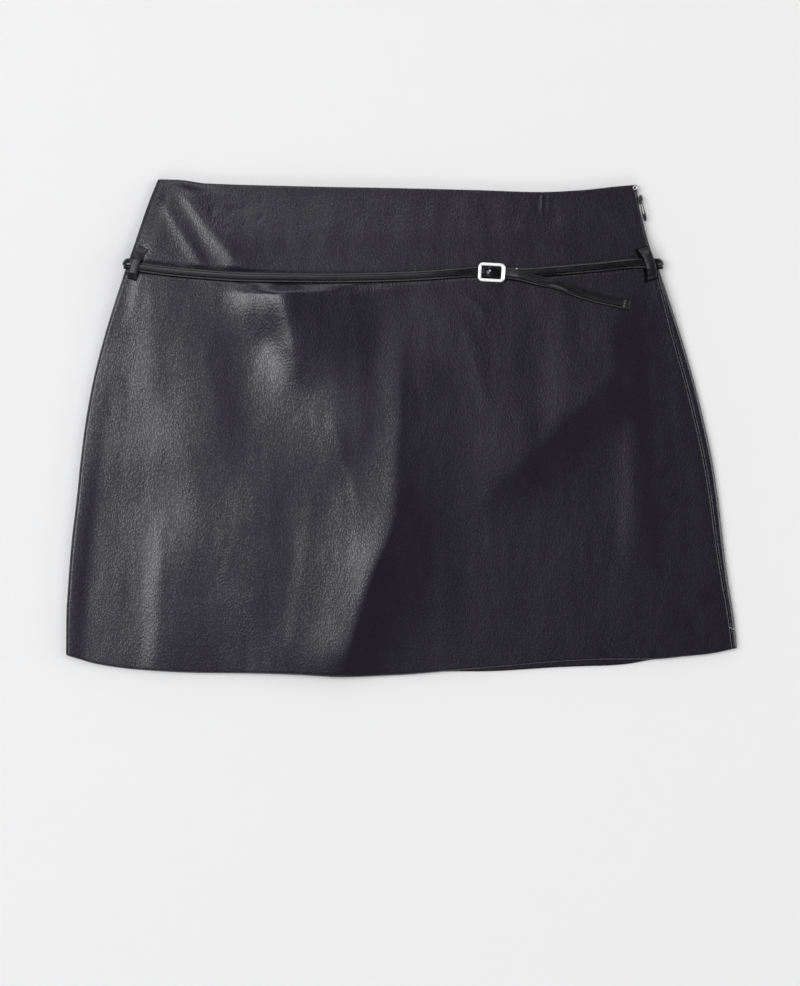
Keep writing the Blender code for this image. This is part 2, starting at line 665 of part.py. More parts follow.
def round_head(name, x, y, seat, radius, height, look, collection):
    """A low round head with a flat underside, such as a rivet's, seated over the front."""
    middle_z = float(front_z(x, y)) + seat + height / 2
    made = cylinder(name, radius, height, (x, y, middle_z), look, collection, 16)
    add_bevel(made, height * 0.45)
    smooth_shade(made)
    return made


# ================================================================ zip and hook
def zip_tape(look, collection):
    """A thin tape inside the right side, along the seam under the front panel."""
    y = np.linspace(ZIP_BOTTOM_Y, ZIP_TOP_Y, 22)[:, None]
    inward = np.linspace(ZIP_TAPE_IN, ZIP_TAPE_OUT, 3)[None, :]
    x = right_edge(y) - inward
    y = np.broadcast_to(y, x.shape)
    z = STACK + front_lift(y) - LEATHER - GAP - 0.05
    made = add_object("zip_tape", grid_mesh("zip_tape", np.dstack((x, y, z))), look, collection)
    add_wall(made, ZIP_TAPE_THICK)
    return made


def zip_slider(look, collection, cutters):
    """A small rounded body at the edge, with an upright pin and cap for the pull."""
    edge = float(right_edge(SLIDER_Y))
    size_x, size_y, size_z = SLIDER_SIZE
    mesh = bpy.data.meshes.new("zip_slider")
    work = bmesh.new()
    bmesh.ops.create_cube(work, size=1.0)
    bmesh.ops.scale(work, vec=(size_x * MM, size_y * MM, size_z * MM), verts=work.verts)
    work.to_mesh(mesh)
    work.free()
    made = add_object("zip_slider", mesh, look, collection)
    made.location = ((edge + SLIDER_OUT + size_x / 2) * MM, SLIDER_Y * MM,
                     (SLIDER_TOP_Z - size_z / 2) * MM)
    add_bevel(made, 0.7)
    cap_z = PULL_Z + PULL_THICK + GAP
    pin_low = SLIDER_TOP_Z - 1.0
    parts = (("slider_pin", PIN_R, pin_low, cap_z + 0.2), ("slider_cap", PIN_CAP_R, cap_z, cap_z + 0.6))
    for name, radius, low, high in parts:
        solid = cylinder(name, radius, high - low, (edge + PIN_OUT, SLIDER_Y, (low + high) / 2),
                         look, collection, 16)
        join_solids(made, solid, cutters)
    smooth_shade(made)
    return made


def spline(curve, points):
    line = curve.splines.new("POLY")
    line.points.add(len(points) - 1)
    for point, (x, y) in zip(line.points, points):
        point.co = (x * MM, y * MM, 0.0, 1.0)
    line.use_cyclic_u = True


def round_end(centre_y, radius, start, stop, count):
    angles = np.radians(np.linspace(start, stop, count))
    return [(radius * math.cos(a), centre_y + radius * math.sin(a)) for a in angles]


def zip_pull(look, collection):
    """A slim drop-shaped tab with an eye for the pin and a long slot, in its own plane."""
    curve = bpy.data.curves.new("zip_pull", "CURVE")
    curve.dimensions = "2D"
    curve.fill_mode = "BOTH"
    curve.extrude = PULL_THICK / 2 * MM
    tail_y = -(PULL_LONG - PULL_TAIL_R)
    spline(curve, round_end(0, PULL_EYE_OUT, -40, 220, 15)
           + round_end(tail_y, PULL_TAIL_R, 180, 360, 11))
    spline(curve, round_end(0, PULL_EYE_IN, 0, 337.5, 16))
    spline(curve, round_end(SLOT_TOP_Y, SLOT_TOP_R, 0, 180, 6)
           + round_end(tail_y + SLOT_TAIL, SLOT_TAIL_R, 180, 360, 7))
    made = add_object("zip_pull", curve, look, collection)
    edge = float(right_edge(SLIDER_Y))
    made.location = ((edge + PIN_OUT) * MM, SLIDER_Y * MM, (PULL_Z + PULL_THICK / 2) * MM)
    made.rotation_euler = (0, 0, math.radians(PULL_ANGLE))
    return made


def waist_hook(look, collection):
    """A small wire eye, sewn on at the corner above the zip."""
    bpy.ops.mesh.primitive_torus_add(major_radius=HOOK_RING * MM, minor_radius=HOOK_WIRE * MM,
                                     major_segments=20, minor_segments=8)
    made = bpy.context.active_object
    made.name = "waist_hook"
    made.data.materials.append(look)
    for holder in list(made.users_collection):
        holder.objects.unlink(made)
    collection.objects.link(made)
    z = float(front_z(HOOK_X - HOOK_RING, HOOK_Y)) + GAP + HOOK_WIRE
    made.location = (HOOK_X * MM, HOOK_Y * MM, z * MM)
    smooth_shade(made)
    return made


# ================================================================ the whole skort
def build():
    clear_scene()
    skort = new_collection("skort")
    cutters = new_collection("cutters")
    leather = material("black faux leather", (0.021, 0.020, 0.024), 0.42)
    belt = material("black belt leather", (0.016, 0.015, 0.018), 0.38)
    jersey = material("black jersey", (0.012, 0.012, 0.014), 0.9)
    silver = material("satin silver", (0.78, 0.78, 0.76), 0.28, 1.0)
    black_metal = material("black metal", (0.02, 0.02, 0.022), 0.35, 0.8)
    tape = material("black zip tape", (0.014, 0.014, 0.016), 0.85)

    front_panel(leather, skort)
    back_panel(leather, skort)
    shorts_panel("shorts_back", LEATHER + GAP + JERSEY, 6.0, 26.0, jersey, skort)
    shorts_panel("shorts_front", LEATHER + 2 * GAP + 2 * JERSEY, 8.0, 38.0, jersey, skort)
    belt_strap(belt, skort)
    for loop in LOOPS:
        belt_loop(*loop, belt, skort)

    buckle_frame(silver, skort, cutters)
    round_head("buckle_prong", PRONG_X, PRONG_Y, PRONG_SEAT, PRONG_R, PRONG_TALL, silver, skort)
    round_head("belt_rivet", RIVET_X, RIVET_Y, RIVET_SEAT, RIVET_R, RIVET_TALL, silver, skort)

    zip_tape(tape, skort)
    zip_slider(black_metal, skort, cutters)
    zip_pull(black_metal, skort)
    waist_hook(silver, skort)


build()
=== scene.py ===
# %% [markdown]
# # A short faux-leather skort, laid flat with its thin belt
#
# The garment is a flattened tube of black faux leather, with a pair of jersey shorts
# inside. A thin piped belt runs through two loops, round both sides and under the back.
# The solid model gives each piece its place. This script gives each piece its finish:
# the creases in the leather, the grain, the sewing, the metal and the light.
#
# The first cell loads the solid model.

# %% Load the frame
import math

import bpy
import numpy as np
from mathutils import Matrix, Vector


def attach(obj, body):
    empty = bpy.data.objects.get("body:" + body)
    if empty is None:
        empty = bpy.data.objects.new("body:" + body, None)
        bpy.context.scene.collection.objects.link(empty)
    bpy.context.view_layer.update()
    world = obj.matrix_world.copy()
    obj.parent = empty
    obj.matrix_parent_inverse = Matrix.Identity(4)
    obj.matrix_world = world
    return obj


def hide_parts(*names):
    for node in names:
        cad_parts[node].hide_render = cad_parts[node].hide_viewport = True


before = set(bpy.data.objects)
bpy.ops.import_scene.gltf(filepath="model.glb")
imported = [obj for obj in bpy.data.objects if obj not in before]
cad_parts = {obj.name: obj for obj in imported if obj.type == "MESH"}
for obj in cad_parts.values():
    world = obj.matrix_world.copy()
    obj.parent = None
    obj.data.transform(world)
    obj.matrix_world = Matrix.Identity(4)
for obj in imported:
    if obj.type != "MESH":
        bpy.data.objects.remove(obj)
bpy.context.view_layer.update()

# %% [markdown]
# ## Small maths
#
# Sizes are in millimetres: x runs across the garment, y runs up towards the waist, and z
# is the height above the table. Blender works in metres, so every mesh is multiplied by
# MM once, where it is made.
#
# A short table of measured points becomes a smooth curve with a cubic through each pair
# of points. Its slopes are the harmonic mean of the neighbouring slopes, so that it never
# swings past a measured value, which a plain spline does.

# %% Curves through tables
MM = 0.001
UP = (0, 0, 1)


def smooth_step(t):
    """Rises from 0 to 1 with a level start and end: t squared times (3 - 2t)."""
    t = np.clip(t, 0.0, 1.0)
    return t * t * (3 - 2 * t)


def running_sum(steps):
    """The sum of the steps so far, from 0."""
    return np.concatenate(((0,), np.cumsum(steps)))


def full_turn(count):
    """That many angles, evenly round a full turn."""
    return np.linspace(0, 2 * math.pi, count, endpoint=False)


def unit(vectors):
    """The vectors, each one long."""
    return vectors / np.linalg.norm(vectors, axis=-1, keepdims=True)


def through(xs, ys, at):
    """A smooth curve through the points (xs, ys): a cubic for each step, with slopes that
    are the harmonic mean of the two neighbours' slopes, or 0 where these differ in sign."""
    xs, ys, at = np.asarray(xs, float), np.asarray(ys, float), np.asarray(at, float)
    step = np.diff(xs)
    slope = np.diff(ys) / step
    product = slope[:-1] * slope[1:]
    total = np.where(product > 0, slope[:-1] + slope[1:], 1.0)
    inner = np.where(product > 0, 2 * product / total, 0.0)
    tangent = np.concatenate((slope[:1], inner, slope[-1:]))
    at = np.clip(at, xs[0], xs[-1])
    i = np.clip(np.searchsorted(xs, at) - 1, 0, len(xs) - 2)
    t = (at - xs[i]) / step[i]
    return (ys[i] * (1 + 2 * t) * (1 - t) ** 2
            + ys[i + 1] * t * t * (3 - 2 * t)
            + step[i] * t * (1 - t) * (tangent[i] * (1 - t) - tangent[i + 1] * t))


def table(rows, column, at):
    """Reads one column of a table at the given values of its first column."""
    columns = list(zip(*rows))
    return through(columns[0], columns[column], at)


def stations(start, end, spacing, marks=(), fine=0.8, reach=3.0):
    """Places from start to end, about spacing apart, and only fine apart within reach of
    each mark: the density is summed along the way and read back at equal steps."""
    way = np.linspace(start, end, 4000)
    near = np.zeros_like(way)
    for mark in marks:
        near = np.maximum(near, np.exp(-((way - mark) / reach) ** 4))
    density = (1 - near) / spacing + near / fine
    total = running_sum((density[:-1] + density[1:]) / 2 * np.diff(way))
    return np.interp(np.linspace(0, total[-1], int(math.ceil(total[-1])) + 1), total, way)


print("halfway up a smooth step:", float(smooth_step(0.5)))

# %% [markdown]
# ## The pattern's outline
#
# These are the driving sizes of the solid model: the wall of each cloth, the two side
# edges, the waist, the hem, and the eight broad folds in which the solid front lies.

# %% Driving sizes and outline, in mm
LEATHER = 1.2            # wall of the faux leather
HEM_WALL = 2.3           # the same where the hem is turned up inside
HEM_DEPTH = 20.0         # height of that turned-up hem
JERSEY = 1.0             # wall of the inner shorts
GAP = 0.3                # air between neighbouring pieces
STACK = 2 * LEATHER + 2 * JERSEY + 3 * GAP
FOLD = STACK / 2         # outer radius of the side folds
SEAM_ANGLE = 54.0        # the left seam's place on the side fold, up from level
STRAP_WIDE, STRAP_THICK = 7.3, 2.2
STRAP_SEAT = 0.45        # height of the belt's underside over the front
BELT_LIFT = STRAP_THICK + GAP

SIDE_EDGES = (
    # y, left edge x, right edge x, right seam's distance in from the right edge
    (-173, -255.4, 256.0, 3.5),
    (-146, -255.2, 253.2, 3.9),
    (-115, -253.5, 248.4, 4.4),
    (-85, -251.0, 244.6, 5.4),
    (-55, -247.4, 241.2, 5.9),
    (-24, -244.2, 236.4, 6.3),
    (6, -240.3, 230.0, 6.5),
    (37, -234.5, 222.3, 6.6),
    (67, -226.9, 213.6, 6.4),
    (97, -217.7, 203.9, 4.6),
    (119, -210.4, 196.3, 2.9),
    (135, -204.8, 189.8, 1.9),
    (158, -197.2, 183.6, 1.4),
    (173, -191.9, 180.2, 1.2),
    (190, -185.0, 178.9, 1.2),
)
WAIST_EDGE = (
    # x, y
    (-186, 189.3), (-168, 188.7), (-150, 186.2), (-77, 183.9), (0, 182.4),
    (60, 180.9), (105, 179.5), (136, 180.9), (166, 184.0), (180, 185.2),
)
FRONT_HEM = (
    # x, y
    (-256, -172.6), (-229, -180.1), (-199, -183.9), (-153, -186.2), (-107, -186.7), (-77, -187.7),
    (-47, -189.2), (0, -187.7), (29, -185.4), (75, -181.6), (120, -177.8), (151, -176.3),
    (193, -175.8), (212, -174.0), (234, -171.8), (255, -167.4),
)
BACK_HEM_DROP = (
    # x, how far the back hem reaches below the front hem (less than 0 is above it)
    (-256, 0), (-225, -1), (0, -1), (29, 0), (75, 3.2), (120, 4.2),
    (151, 4.6), (168, 3.9), (193, 0.2), (215, -0.8), (255, 0),
)
FOLDS = (
    # middle x, y, lean from upright in degrees, half length, left width, right width, height
    (-168, 50, 14, 60, 26, 16, 2.6),
    (-94, 64, 28, 52, 30, 24, 3.0),
    (-50, 20, 6, 52, 18, 13, 1.5),
    (-7, 0, 1, 62, 24, 10, 2.4),
    (-30, -112, -19, 84, 30, 15, 3.0),
    (-174, -104, -7, 84, 34, 22, 2.6),
    (92, -10, -58, 88, 46, 24, 1.8),
    (180, -40, 2, 54, 14, 16, 1.2),
)
FOLD_LIMIT = 3.6         # the folds' sum levels off below this height

HEM_LEFT_Y, HEM_RIGHT_Y = FRONT_HEM[0][1], FRONT_HEM[-1][1]
WAIST_LEFT_Y, WAIST_RIGHT_Y = WAIST_EDGE[0][1], WAIST_EDGE[-1][1]
SIDE_LONG = WAIST_LEFT_Y - HEM_LEFT_Y
print("layers lying flat:", round(STACK, 2), "mm; length at the left side:", round(SIDE_LONG, 1), "mm")

# %% [markdown]
# ## The belt's path
#
# Two short tables say where the belt lies in front: from the buckle to the right side,
# and from the left side to the buckle and out to the tail's tip. Every other piece near
# the belt, such as the loops and the level band of leather below it, reads them too.

# %% Path tables of the belt, in mm
BACK_BELT_Y = 125.2      # the belt's straight run under the back
FRONT_LEVEL_Y = 119.0    # middle of the level band that carries the belt in front
BUCKLE_X, BUCKLE_Y = 68.3, 117.9
RIGHT_RUN = (
    # x, y, height of the strap's underside over the front, thickness against full
    (65.8, 118.3, 0.45, 0.6),
    (78, 117.9, 0.45, 0.6),
    (90, 117.9, 0.45, 0.9),
    (115, 119.6, 0.45, 1),
    (150, 122.6, 0.45, 1),
    (182, 125.4, 0.45, 1),
)
LEFT_RUN = (
    # x, y, height of the underside over the front, thickness against full, roll in degrees
    (-198, 122.4, 0.45, 1, 0),
    (-153, 117.2, 0.45, 1, 0),
    (-115, 114.9, 0.45, 1, 0),
    (-54, 114.2, 0.45, 1, 0),
    (-1, 115.3, 0.45, 1, 0),
    (29, 117.0, 0.45, 1, 0),
    (49, 118.3, 0.45, 0.7, 0),
    (58.6, 118.6, 0.45, 0.6, 0),
    (61, 118.6, 0.7, 0.6, 0),
    (66.9, 118.1, 3.75, 0.6, 0),
    (72.5, 117.7, 2.7, 0.6, 0),
    (77.2, 117.3, 2.15, 0.6, 0),
    (81, 116.9, 2.25, 0.65, 0),
    (90, 115.4, 2.95, 1, 0),
    (105, 111.6, 3.0, 1, 8),
    (118, 108.4, 2.9, 1, 36),
    (128, 105.0, 2.0, 1, 20),
    (139, 101.4, 0.5, 1, 0),
    (155, 97.2, 0.5, 1, 0),
    (173, 93.4, 0.5, 1, 0),
)


def belt_y(x):
    """The belt's middle line in front, read from both runs."""
    points = [row[:2] for row in LEFT_RUN if row[0] < BUCKLE_X] + [row[:2] for row in RIGHT_RUN[2:]]
    xs, ys = zip(*points)
    return through(xs, ys, x)


print("belt at the middle:", round(float(belt_y(0.0)), 1), "mm above the middle line")

# %% [markdown]
# ## The form of the cloth
#
# The front is a height field: for each x and y it has one height. That height is the
# stack of layers, raised over the belt's run under the back, dropped at the side folds,
# with the eight broad folds on top. The folds fade out at the seams, at the waist and
# under the belt, where a real belt presses the leather flat.

# %% The solid model's form, repeated
BACK_RISE = (BACK_BELT_Y, 5.5, 14.0)        # middle y, half the level part, the slope's length
FRONT_RISE = (FRONT_LEVEL_Y, 14.0, 55.0)
SIDE_FADE, WAIST_FADE, BELT_FADE = 26, 34, 13


def left_edge(y):
    return table(SIDE_EDGES, 1, y)


def right_edge(y):
    return table(SIDE_EDGES, 2, y)


def row_sides(v):
    """Left edge, right edge and seam distance of the row at v, from hem 0 to waist 1."""
    right_y = HEM_RIGHT_Y + v * (WAIST_RIGHT_Y - HEM_RIGHT_Y)
    return left_edge(HEM_LEFT_Y + v * SIDE_LONG), right_edge(right_y), table(SIDE_EDGES, 3, right_y)


def row_heights(x, v, drop=0.0):
    """y of the hem, of row v and of the waist, on the line up the garment through x."""
    left, right, _ = row_sides(v)
    u = (x - left) / (right - left)
    hem_left, hem_right, _ = row_sides(0.0)
    waist_left, waist_right, _ = row_sides(1.0)
    hem_x = hem_left + u * (hem_right - hem_left)
    hem = table(FRONT_HEM, 1, hem_x) - drop * table(BACK_HEM_DROP, 1, hem_x)
    waist = table(WAIST_EDGE, 1, waist_left + u * (waist_right - waist_left))
    return hem, hem + v * (waist - hem), waist


def lift(y, middle, level, slope):
    """Rise over the belt's run under the back: level over it, then falling smoothly."""
    return BELT_LIFT * smooth_step(1 - (np.abs(y - middle) - level) / slope)


def folds(x, y):
    """Sum of the soft folds: each is a bell across its crest line and fades at its ends."""
    total = np.zeros(np.broadcast(x, y).shape)
    for middle_x, middle_y, lean, half, left, right, height in FOLDS:
        c, s = math.cos(math.radians(lean)), math.sin(math.radians(lean))
        across = (x - middle_x) * c + (y - middle_y) * s
        along = (x - middle_x) * s - (y - middle_y) * c
        width = np.where(across < 0, left, right)
        total = total + height * np.exp(-(across / width) ** 2 - (along / half) ** 4)
    return FOLD_LIMIT * np.tanh(total / FOLD_LIMIT)


def freedom(x, y, left, right):
    """How free the front is to fold: 0 at the sides and the waist, low under the belt."""
    return (smooth_step((x - left - FOLD) / SIDE_FADE) * smooth_step((right - x - 9) / SIDE_FADE)
            * smooth_step((table(WAIST_EDGE, 1, x) - y) / WAIST_FADE)
            * (1 - 0.8 * np.exp(-((y - belt_y(x)) / BELT_FADE) ** 2)))


def front_height(x, y, left, right):
    """Height of the front's outer face, between the two side edges at left and right."""
    top = STACK + lift(y, *FRONT_RISE)
    edge = np.clip(1 - np.minimum(x - left, right - x) / FOLD, 0.0, 1.0)
    side_fold = (top - lift(y, *BACK_RISE)) / 2 * (1 - np.sqrt(1 - edge * edge))
    return top - side_fold + folds(x, y) * freedom(x, y, left, right)


def front_z(x, y):
    return front_height(x, y, left_edge(y), right_edge(y))


print("front at the buckle:", round(float(front_z(BUCKLE_X, BUCKLE_Y)), 2), "mm high")

# %% [markdown]
# ## From arrays to meshes
#
# Each piece is worked out as whole arrays of points. A grid of points becomes quads, a
# thin cloth becomes a closed wall between its outer and inner face, and a ring of points
# carried along a path becomes a tube. A shape here is three arrays: points, quads and
# triangles. It turns into a Blender mesh only at the very end.

# %% Shapes as arrays
NO_TRIANGLES = np.empty((0, 3), int)


def points_from(x, y, z):
    """One array of points from three arrays, each repeated to their common size."""
    return np.stack(np.broadcast_arrays(x, y, z), axis=-1)


def grid_quads(index):
    """Quads between neighbouring entries of a grid of point numbers."""
    return np.stack((index[:-1, :-1], index[:-1, 1:], index[1:, 1:], index[1:, :-1]),
                    axis=-1).reshape(-1, 4)


def cloth_wall(outer, inner, keep=None):
    """A closed wall: the outer grid, the inner grid turned round, and a rim that joins the
    two along every edge that only one quad uses. keep leaves out the quads where it is False."""
    rows, columns = outer.shape[:2]
    count = rows * columns
    quads = grid_quads(np.arange(count).reshape(rows, columns))
    if keep is not None:
        quads = quads[keep.reshape(-1)]
    start, end = quads.reshape(-1), np.roll(quads, -1, axis=1).reshape(-1)
    lonely = ~np.isin(start * count + end, end * count + start)
    start, end = start[lonely], end[lonely]
    rim = np.stack((end, start, start + count, end + count), axis=-1)
    points = np.vstack((outer.reshape(-1, 3), inner.reshape(-1, 3)))
    used, faces = np.unique(np.vstack((quads, quads[:, ::-1] + count, rim)), return_inverse=True)
    return points[used], faces.reshape(-1, 4), NO_TRIANGLES


def wall_between(x, y, top, bottom, keep=None):
    """A closed wall between two heights over the same places."""
    return cloth_wall(points_from(x, y, top), points_from(x, y, bottom), keep)


def tube(rings, closed=False):
    """A tube from rings [ring, point], with quads between rings. Each end has a fan of
    triangles round the ring's middle. In a closed tube the last ring joins the first."""
    count, around = rings.shape[:2]
    index = np.arange(count * around).reshape(count, around)
    index = np.hstack((index, index[:, :1]))
    points = rings.reshape(-1, 3)
    if closed:
        return facing_out((points, grid_quads(np.vstack((index, index[:1]))), NO_TRIANGLES))
    rims = ((index[0, 1:], index[0, :-1]), (index[-1, :-1], index[-1, 1:]))
    fans = [np.column_stack((*rim, np.full(around, len(points) + end))) for end, rim in enumerate(rims)]
    points = np.vstack((points, rings[[0, -1]].mean(axis=1)))
    return facing_out((points, grid_quads(index), np.vstack(fans)))


def facing_out(shape):
    """Turns a closed shape's faces outwards: its signed volume, the sum of the tetrahedra
    from the origin to each triangle, is below 0 where they point inwards."""
    points, quads, triangles = shape
    every = np.vstack((quads[:, :3], quads[:, (0, 2, 3)], triangles))
    a, b, c = (points[every[:, corner]] for corner in range(3))
    if (a * np.cross(b, c)).sum() < 0:
        quads, triangles = quads[:, ::-1], triangles[:, ::-1]
    return points, quads, triangles


def together(shapes):
    """One shape from several: the point numbers of each are moved past those before it."""
    starts = running_sum([len(points) for points, _, _ in shapes])
    moved = [(points, quads + start, triangles + start)
             for (points, quads, triangles), start in zip(shapes, starts)]
    return tuple(np.vstack(part) for part in zip(*moved))


def copies(shape, centres, along, up):
    """Copies of a small shape, one at each centre. Its x becomes along, its z becomes up,
    and its y becomes the cross product of up and along."""
    points, quads, triangles = shape
    along, up = np.broadcast_to(along, centres.shape), np.broadcast_to(up, centres.shape)
    axes = np.stack((along, np.cross(up, along), up), axis=1)
    start = (np.arange(len(centres)) * len(points))[:, None, None]
    return ((centres[:, None, :] + points @ axes).reshape(-1, 3),
            (quads + start).reshape(-1, 4), (triangles + start).reshape(-1, 3))


print("quads in a 3 by 4 grid of points:", len(grid_quads(np.arange(12).reshape(3, 4))))

# %% [markdown]
# A finished piece needs four things: its mesh, its material, its smooth shading and the body
# that it moves with. One function does them all, so that no piece can be left half made.

# %% From a shape to a finished piece
def add_object(name, data):
    """Puts a mesh, a lamp or a camera into the scene."""
    made = bpy.data.objects.new(name, data)
    bpy.context.scene.collection.objects.link(made)
    return made


def add_piece(name, shape, look, body="root", instead_of=(), sharp=50):
    """Puts a shape in mm into the scene as a smooth-shaded piece that rides on a body."""
    points, quads, triangles = shape
    mesh = bpy.data.meshes.new(name)
    mesh.from_pydata((points * MM).tolist(), [], quads.tolist() + triangles.tolist())
    mesh.shade_smooth()
    mesh.set_sharp_from_angle(angle=math.radians(sharp))
    mesh.materials.append(look)
    piece = add_object(name, mesh)
    if instead_of:
        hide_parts(*instead_of)
    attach(piece, body)
    print(f"{name}: {2 * len(quads) + len(triangles)} triangles, mm from "
          f"{np.round(points.min(axis=0), 1).tolist()} to {np.round(points.max(axis=0), 1).tolist()}")
    return piece


# %% [markdown]
# ## Finishes
#
# A material is a small graph of nodes. The helper below adds a node and wires its inputs
# in one call. Every pattern reads the Object coordinates, which for these pieces are the
# garment's own place in metres. A Mapping node turns them into millimetres, so that the
# size of a grain can be read straight from the numbers.

# %% Node helpers
def add_node(look, kind, inputs=None, **settings):
    """Adds a node. inputs gives a socket a value, or a link where the value is a socket."""
    tree = look.node_tree
    made = tree.nodes.new(kind)
    for key, value in settings.items():
        setattr(made, key, value)
    for key, value in (inputs or {}).items():
        if isinstance(value, bpy.types.NodeSocket):
            tree.links.new(value, made.inputs[key])
        else:
            made.inputs[key].default_value = value
    return made


def new_look(name, colour, roughness, metallic=0.0, **sockets):
    """A material with its even values set on the shader's own sockets."""
    look = bpy.data.materials.new(name)
    look.use_nodes = True
    shader = look.node_tree.nodes["Principled BSDF"]
    sockets.update(Base_Color=(*colour, 1.0), Roughness=roughness, Metallic=metallic)
    for key, value in sockets.items():
        shader.inputs[key.replace("_", " ")].default_value = value
    return look


def feed(look, socket, value):
    """Links a value into one of the shader's sockets."""
    look.node_tree.links.new(value, look.node_tree.nodes["Principled BSDF"].inputs[socket])


def place_mm(look, taller=1.0):
    """Object coordinates in mm, with y divided by taller, which makes a pattern that tall."""
    where = add_node(look, "ShaderNodeTexCoord").outputs["Object"]
    scale = (1 / MM, 1 / MM / taller, 1 / MM)
    return add_node(look, "ShaderNodeMapping", {"Vector": where, "Scale": scale}).outputs[0]


def noise(look, where, size, detail=3.0, rough=0.5, bend=0.0):
    """Soft noise from 0 to 1, whose blobs are about size mm across."""
    return add_node(look, "ShaderNodeTexNoise", {
        "Vector": where, "Scale": 1 / size, "Detail": detail, "Roughness": rough,
        "Distortion": bend}).outputs["Fac"]


def wave(look, where, scale, bend, direction):
    """Soft bands from 0 to 1."""
    return add_node(look, "ShaderNodeTexWave", {"Vector": where, "Scale": scale, "Distortion": bend},
                    bands_direction=direction).outputs["Fac"]


def maths(look, operation, first, second=0.0, third=0.0):
    """One Math node."""
    return add_node(look, "ShaderNodeMath", {0: first, 1: second, 2: third},
                    operation=operation).outputs[0]


def ramp(look, value, low, high, to_low=0.0, to_high=1.0):
    """Maps low..high smoothly to to_low..to_high and holds it level outside."""
    return add_node(look, "ShaderNodeMapRange", {
        "Value": value, "From Min": low, "From Max": high, "To Min": to_low, "To Max": to_high},
        interpolation_type="SMOOTHSTEP").outputs[0]


def shade(colour, share):
    """A colour times a share."""
    return tuple(value * share for value in colour)


def feed_colours(look, share, first, second):
    """Feeds the base colour with a mix of two, by a Mix node's colour sockets."""
    made = add_node(look, "ShaderNodeMix", {0: share, 6: (*first, 1.0), 7: (*second, 1.0)},
                    data_type="RGBA")
    feed(look, "Base Color", made.outputs[2])


def feed_bump(look, height, depth):
    """Turns a height from 0 to 1 into shading, as if it were depth mm deep."""
    bump = add_node(look, "ShaderNodeBump", {"Height": height, "Distance": depth * MM})
    feed(look, "Normal", bump.outputs[0])


print("one millimetre is", MM, "m")

# %% [markdown]
# ### Faux leather
#
# Faux leather is a coated knit. Its coating is embossed with small pebbles and stretches
# into fine upright streaks. So two heights make the grain: Voronoi cells, whose borders
# are the valleys between pebbles, and a noise drawn out upwards. The valleys are duller.
# They are also painted darker and given less gloss, and the tops are painted a little lighter:
# painted shade in the hollows of the grain. A broad soft noise, the slack, changes roughness
# and colour from place to place, so that no two places look alike.

# %% Faux leather
PEBBLE_TALLER, STREAK_TALLER, SLACK_TALLER = 1.6, 3.6, 2.4
STREAK_WIDE, SLACK_WIDE = 1.7, 13.0                # in mm
SLACK_DULL, TOP_DULL, LESS_DULL = 0.14, -0.05, 0.045
VALLEY_GLOSS, TOP_GLOSS = 0.84, 1.12
VALLEY_PAINTED_SHADE, TOP_PAINTED_LIGHT = 0.85, 1.12


def leather_look(name, colour, roughness, pebble, pebble_depth, streak_depth, gloss=0.5):
    """Leather with pebbles about pebble mm across. Both depths are in mm."""
    look = new_look(name, colour, roughness, Specular_IOR_Level=gloss)
    cells = add_node(look, "ShaderNodeTexVoronoi", {
        "Vector": place_mm(look, PEBBLE_TALLER), "Scale": 1 / pebble, "Randomness": 0.9},
        feature="F1").outputs["Distance"]
    tops = ramp(look, cells, 0.75, 0.1)
    streaks = noise(look, place_mm(look, STREAK_TALLER), STREAK_WIDE, 3.0, 0.55, 0.3)
    slack = noise(look, place_mm(look, SLACK_TALLER), SLACK_WIDE, 2.0)
    streaks = maths(look, "MULTIPLY", streaks, streak_depth)
    feed_bump(look, maths(look, "MULTIPLY_ADD", tops, pebble_depth, streaks), 1.0)
    dull = maths(look, "MULTIPLY_ADD", slack, SLACK_DULL, maths(look, "MULTIPLY", tops, TOP_DULL))
    feed(look, "Roughness", maths(look, "ADD", dull, roughness - LESS_DULL))
    # Painted shade in the grain: the valleys get less gloss and a darker colour, and the tops a lighter
    # one. The slack adds tone that varies at random.
    feed(look, "Specular IOR Level", ramp(look, tops, 0.15, 0.8, VALLEY_GLOSS * gloss, TOP_GLOSS * gloss))
    share = maths(look, "MULTIPLY_ADD", tops, 0.5, maths(look, "MULTIPLY", slack, 0.5))
    feed_colours(look, share, shade(colour, VALLEY_PAINTED_SHADE), shade(colour, TOP_PAINTED_LIGHT))
    return look


faux_leather = leather_look("black faux leather", (0.0140, 0.0114, 0.0186), 0.22, 1.30, 0.040, 0.052)
belt_leather = leather_look("black belt leather", (0.0045, 0.0040, 0.0056), 0.18, 0.8, 0.007, 0.012, 0.52)
loop_leather = leather_look("black loop leather", (0.0060, 0.0052, 0.0074), 0.32, 1.0, 0.014, 0.02, 0.42)
# Matt black dye: the belt's dyed raw edge, and painted shadow below the belt and under the loops.
edge_dye_and_painted_shadow = new_look("black edge dye and painted shadow", (0.002, 0.002, 0.0024), 0.8, Specular_IOR_Level=0.08)
print("grain made:", faux_leather.name, "and", belt_leather.name)

# %% [markdown]
# ### Jersey, zip tape and thread
#
# Jersey is a plain knit: columns of small loops, a millimetre wide. Two wave textures
# crossed at right angles are enough at this scale, because it shows only in the openings
# at the waist and the hem. The zip tape is a tighter weave of the same kind, and sewing
# thread is a satin twist.

# %% Jersey, tape and thread
BAND = 0.314             # a wave texture's scale for bands 1 mm apart


def knit_look(name, colour, roughness, column, course, depth):
    """Columns and courses of small round loops, as two crossed waves."""
    look = new_look(name, colour, roughness, Sheen_Weight=0.25, Sheen_Roughness=0.5)
    where = place_mm(look)
    height = maths(look, "MULTIPLY", wave(look, where, BAND / column, 0.4, "X"),
                   wave(look, where, BAND / course, 0.6, "Y"))
    feed_bump(look, height, depth)
    feed_colours(look, height, colour, shade(colour, 1.6))
    return look


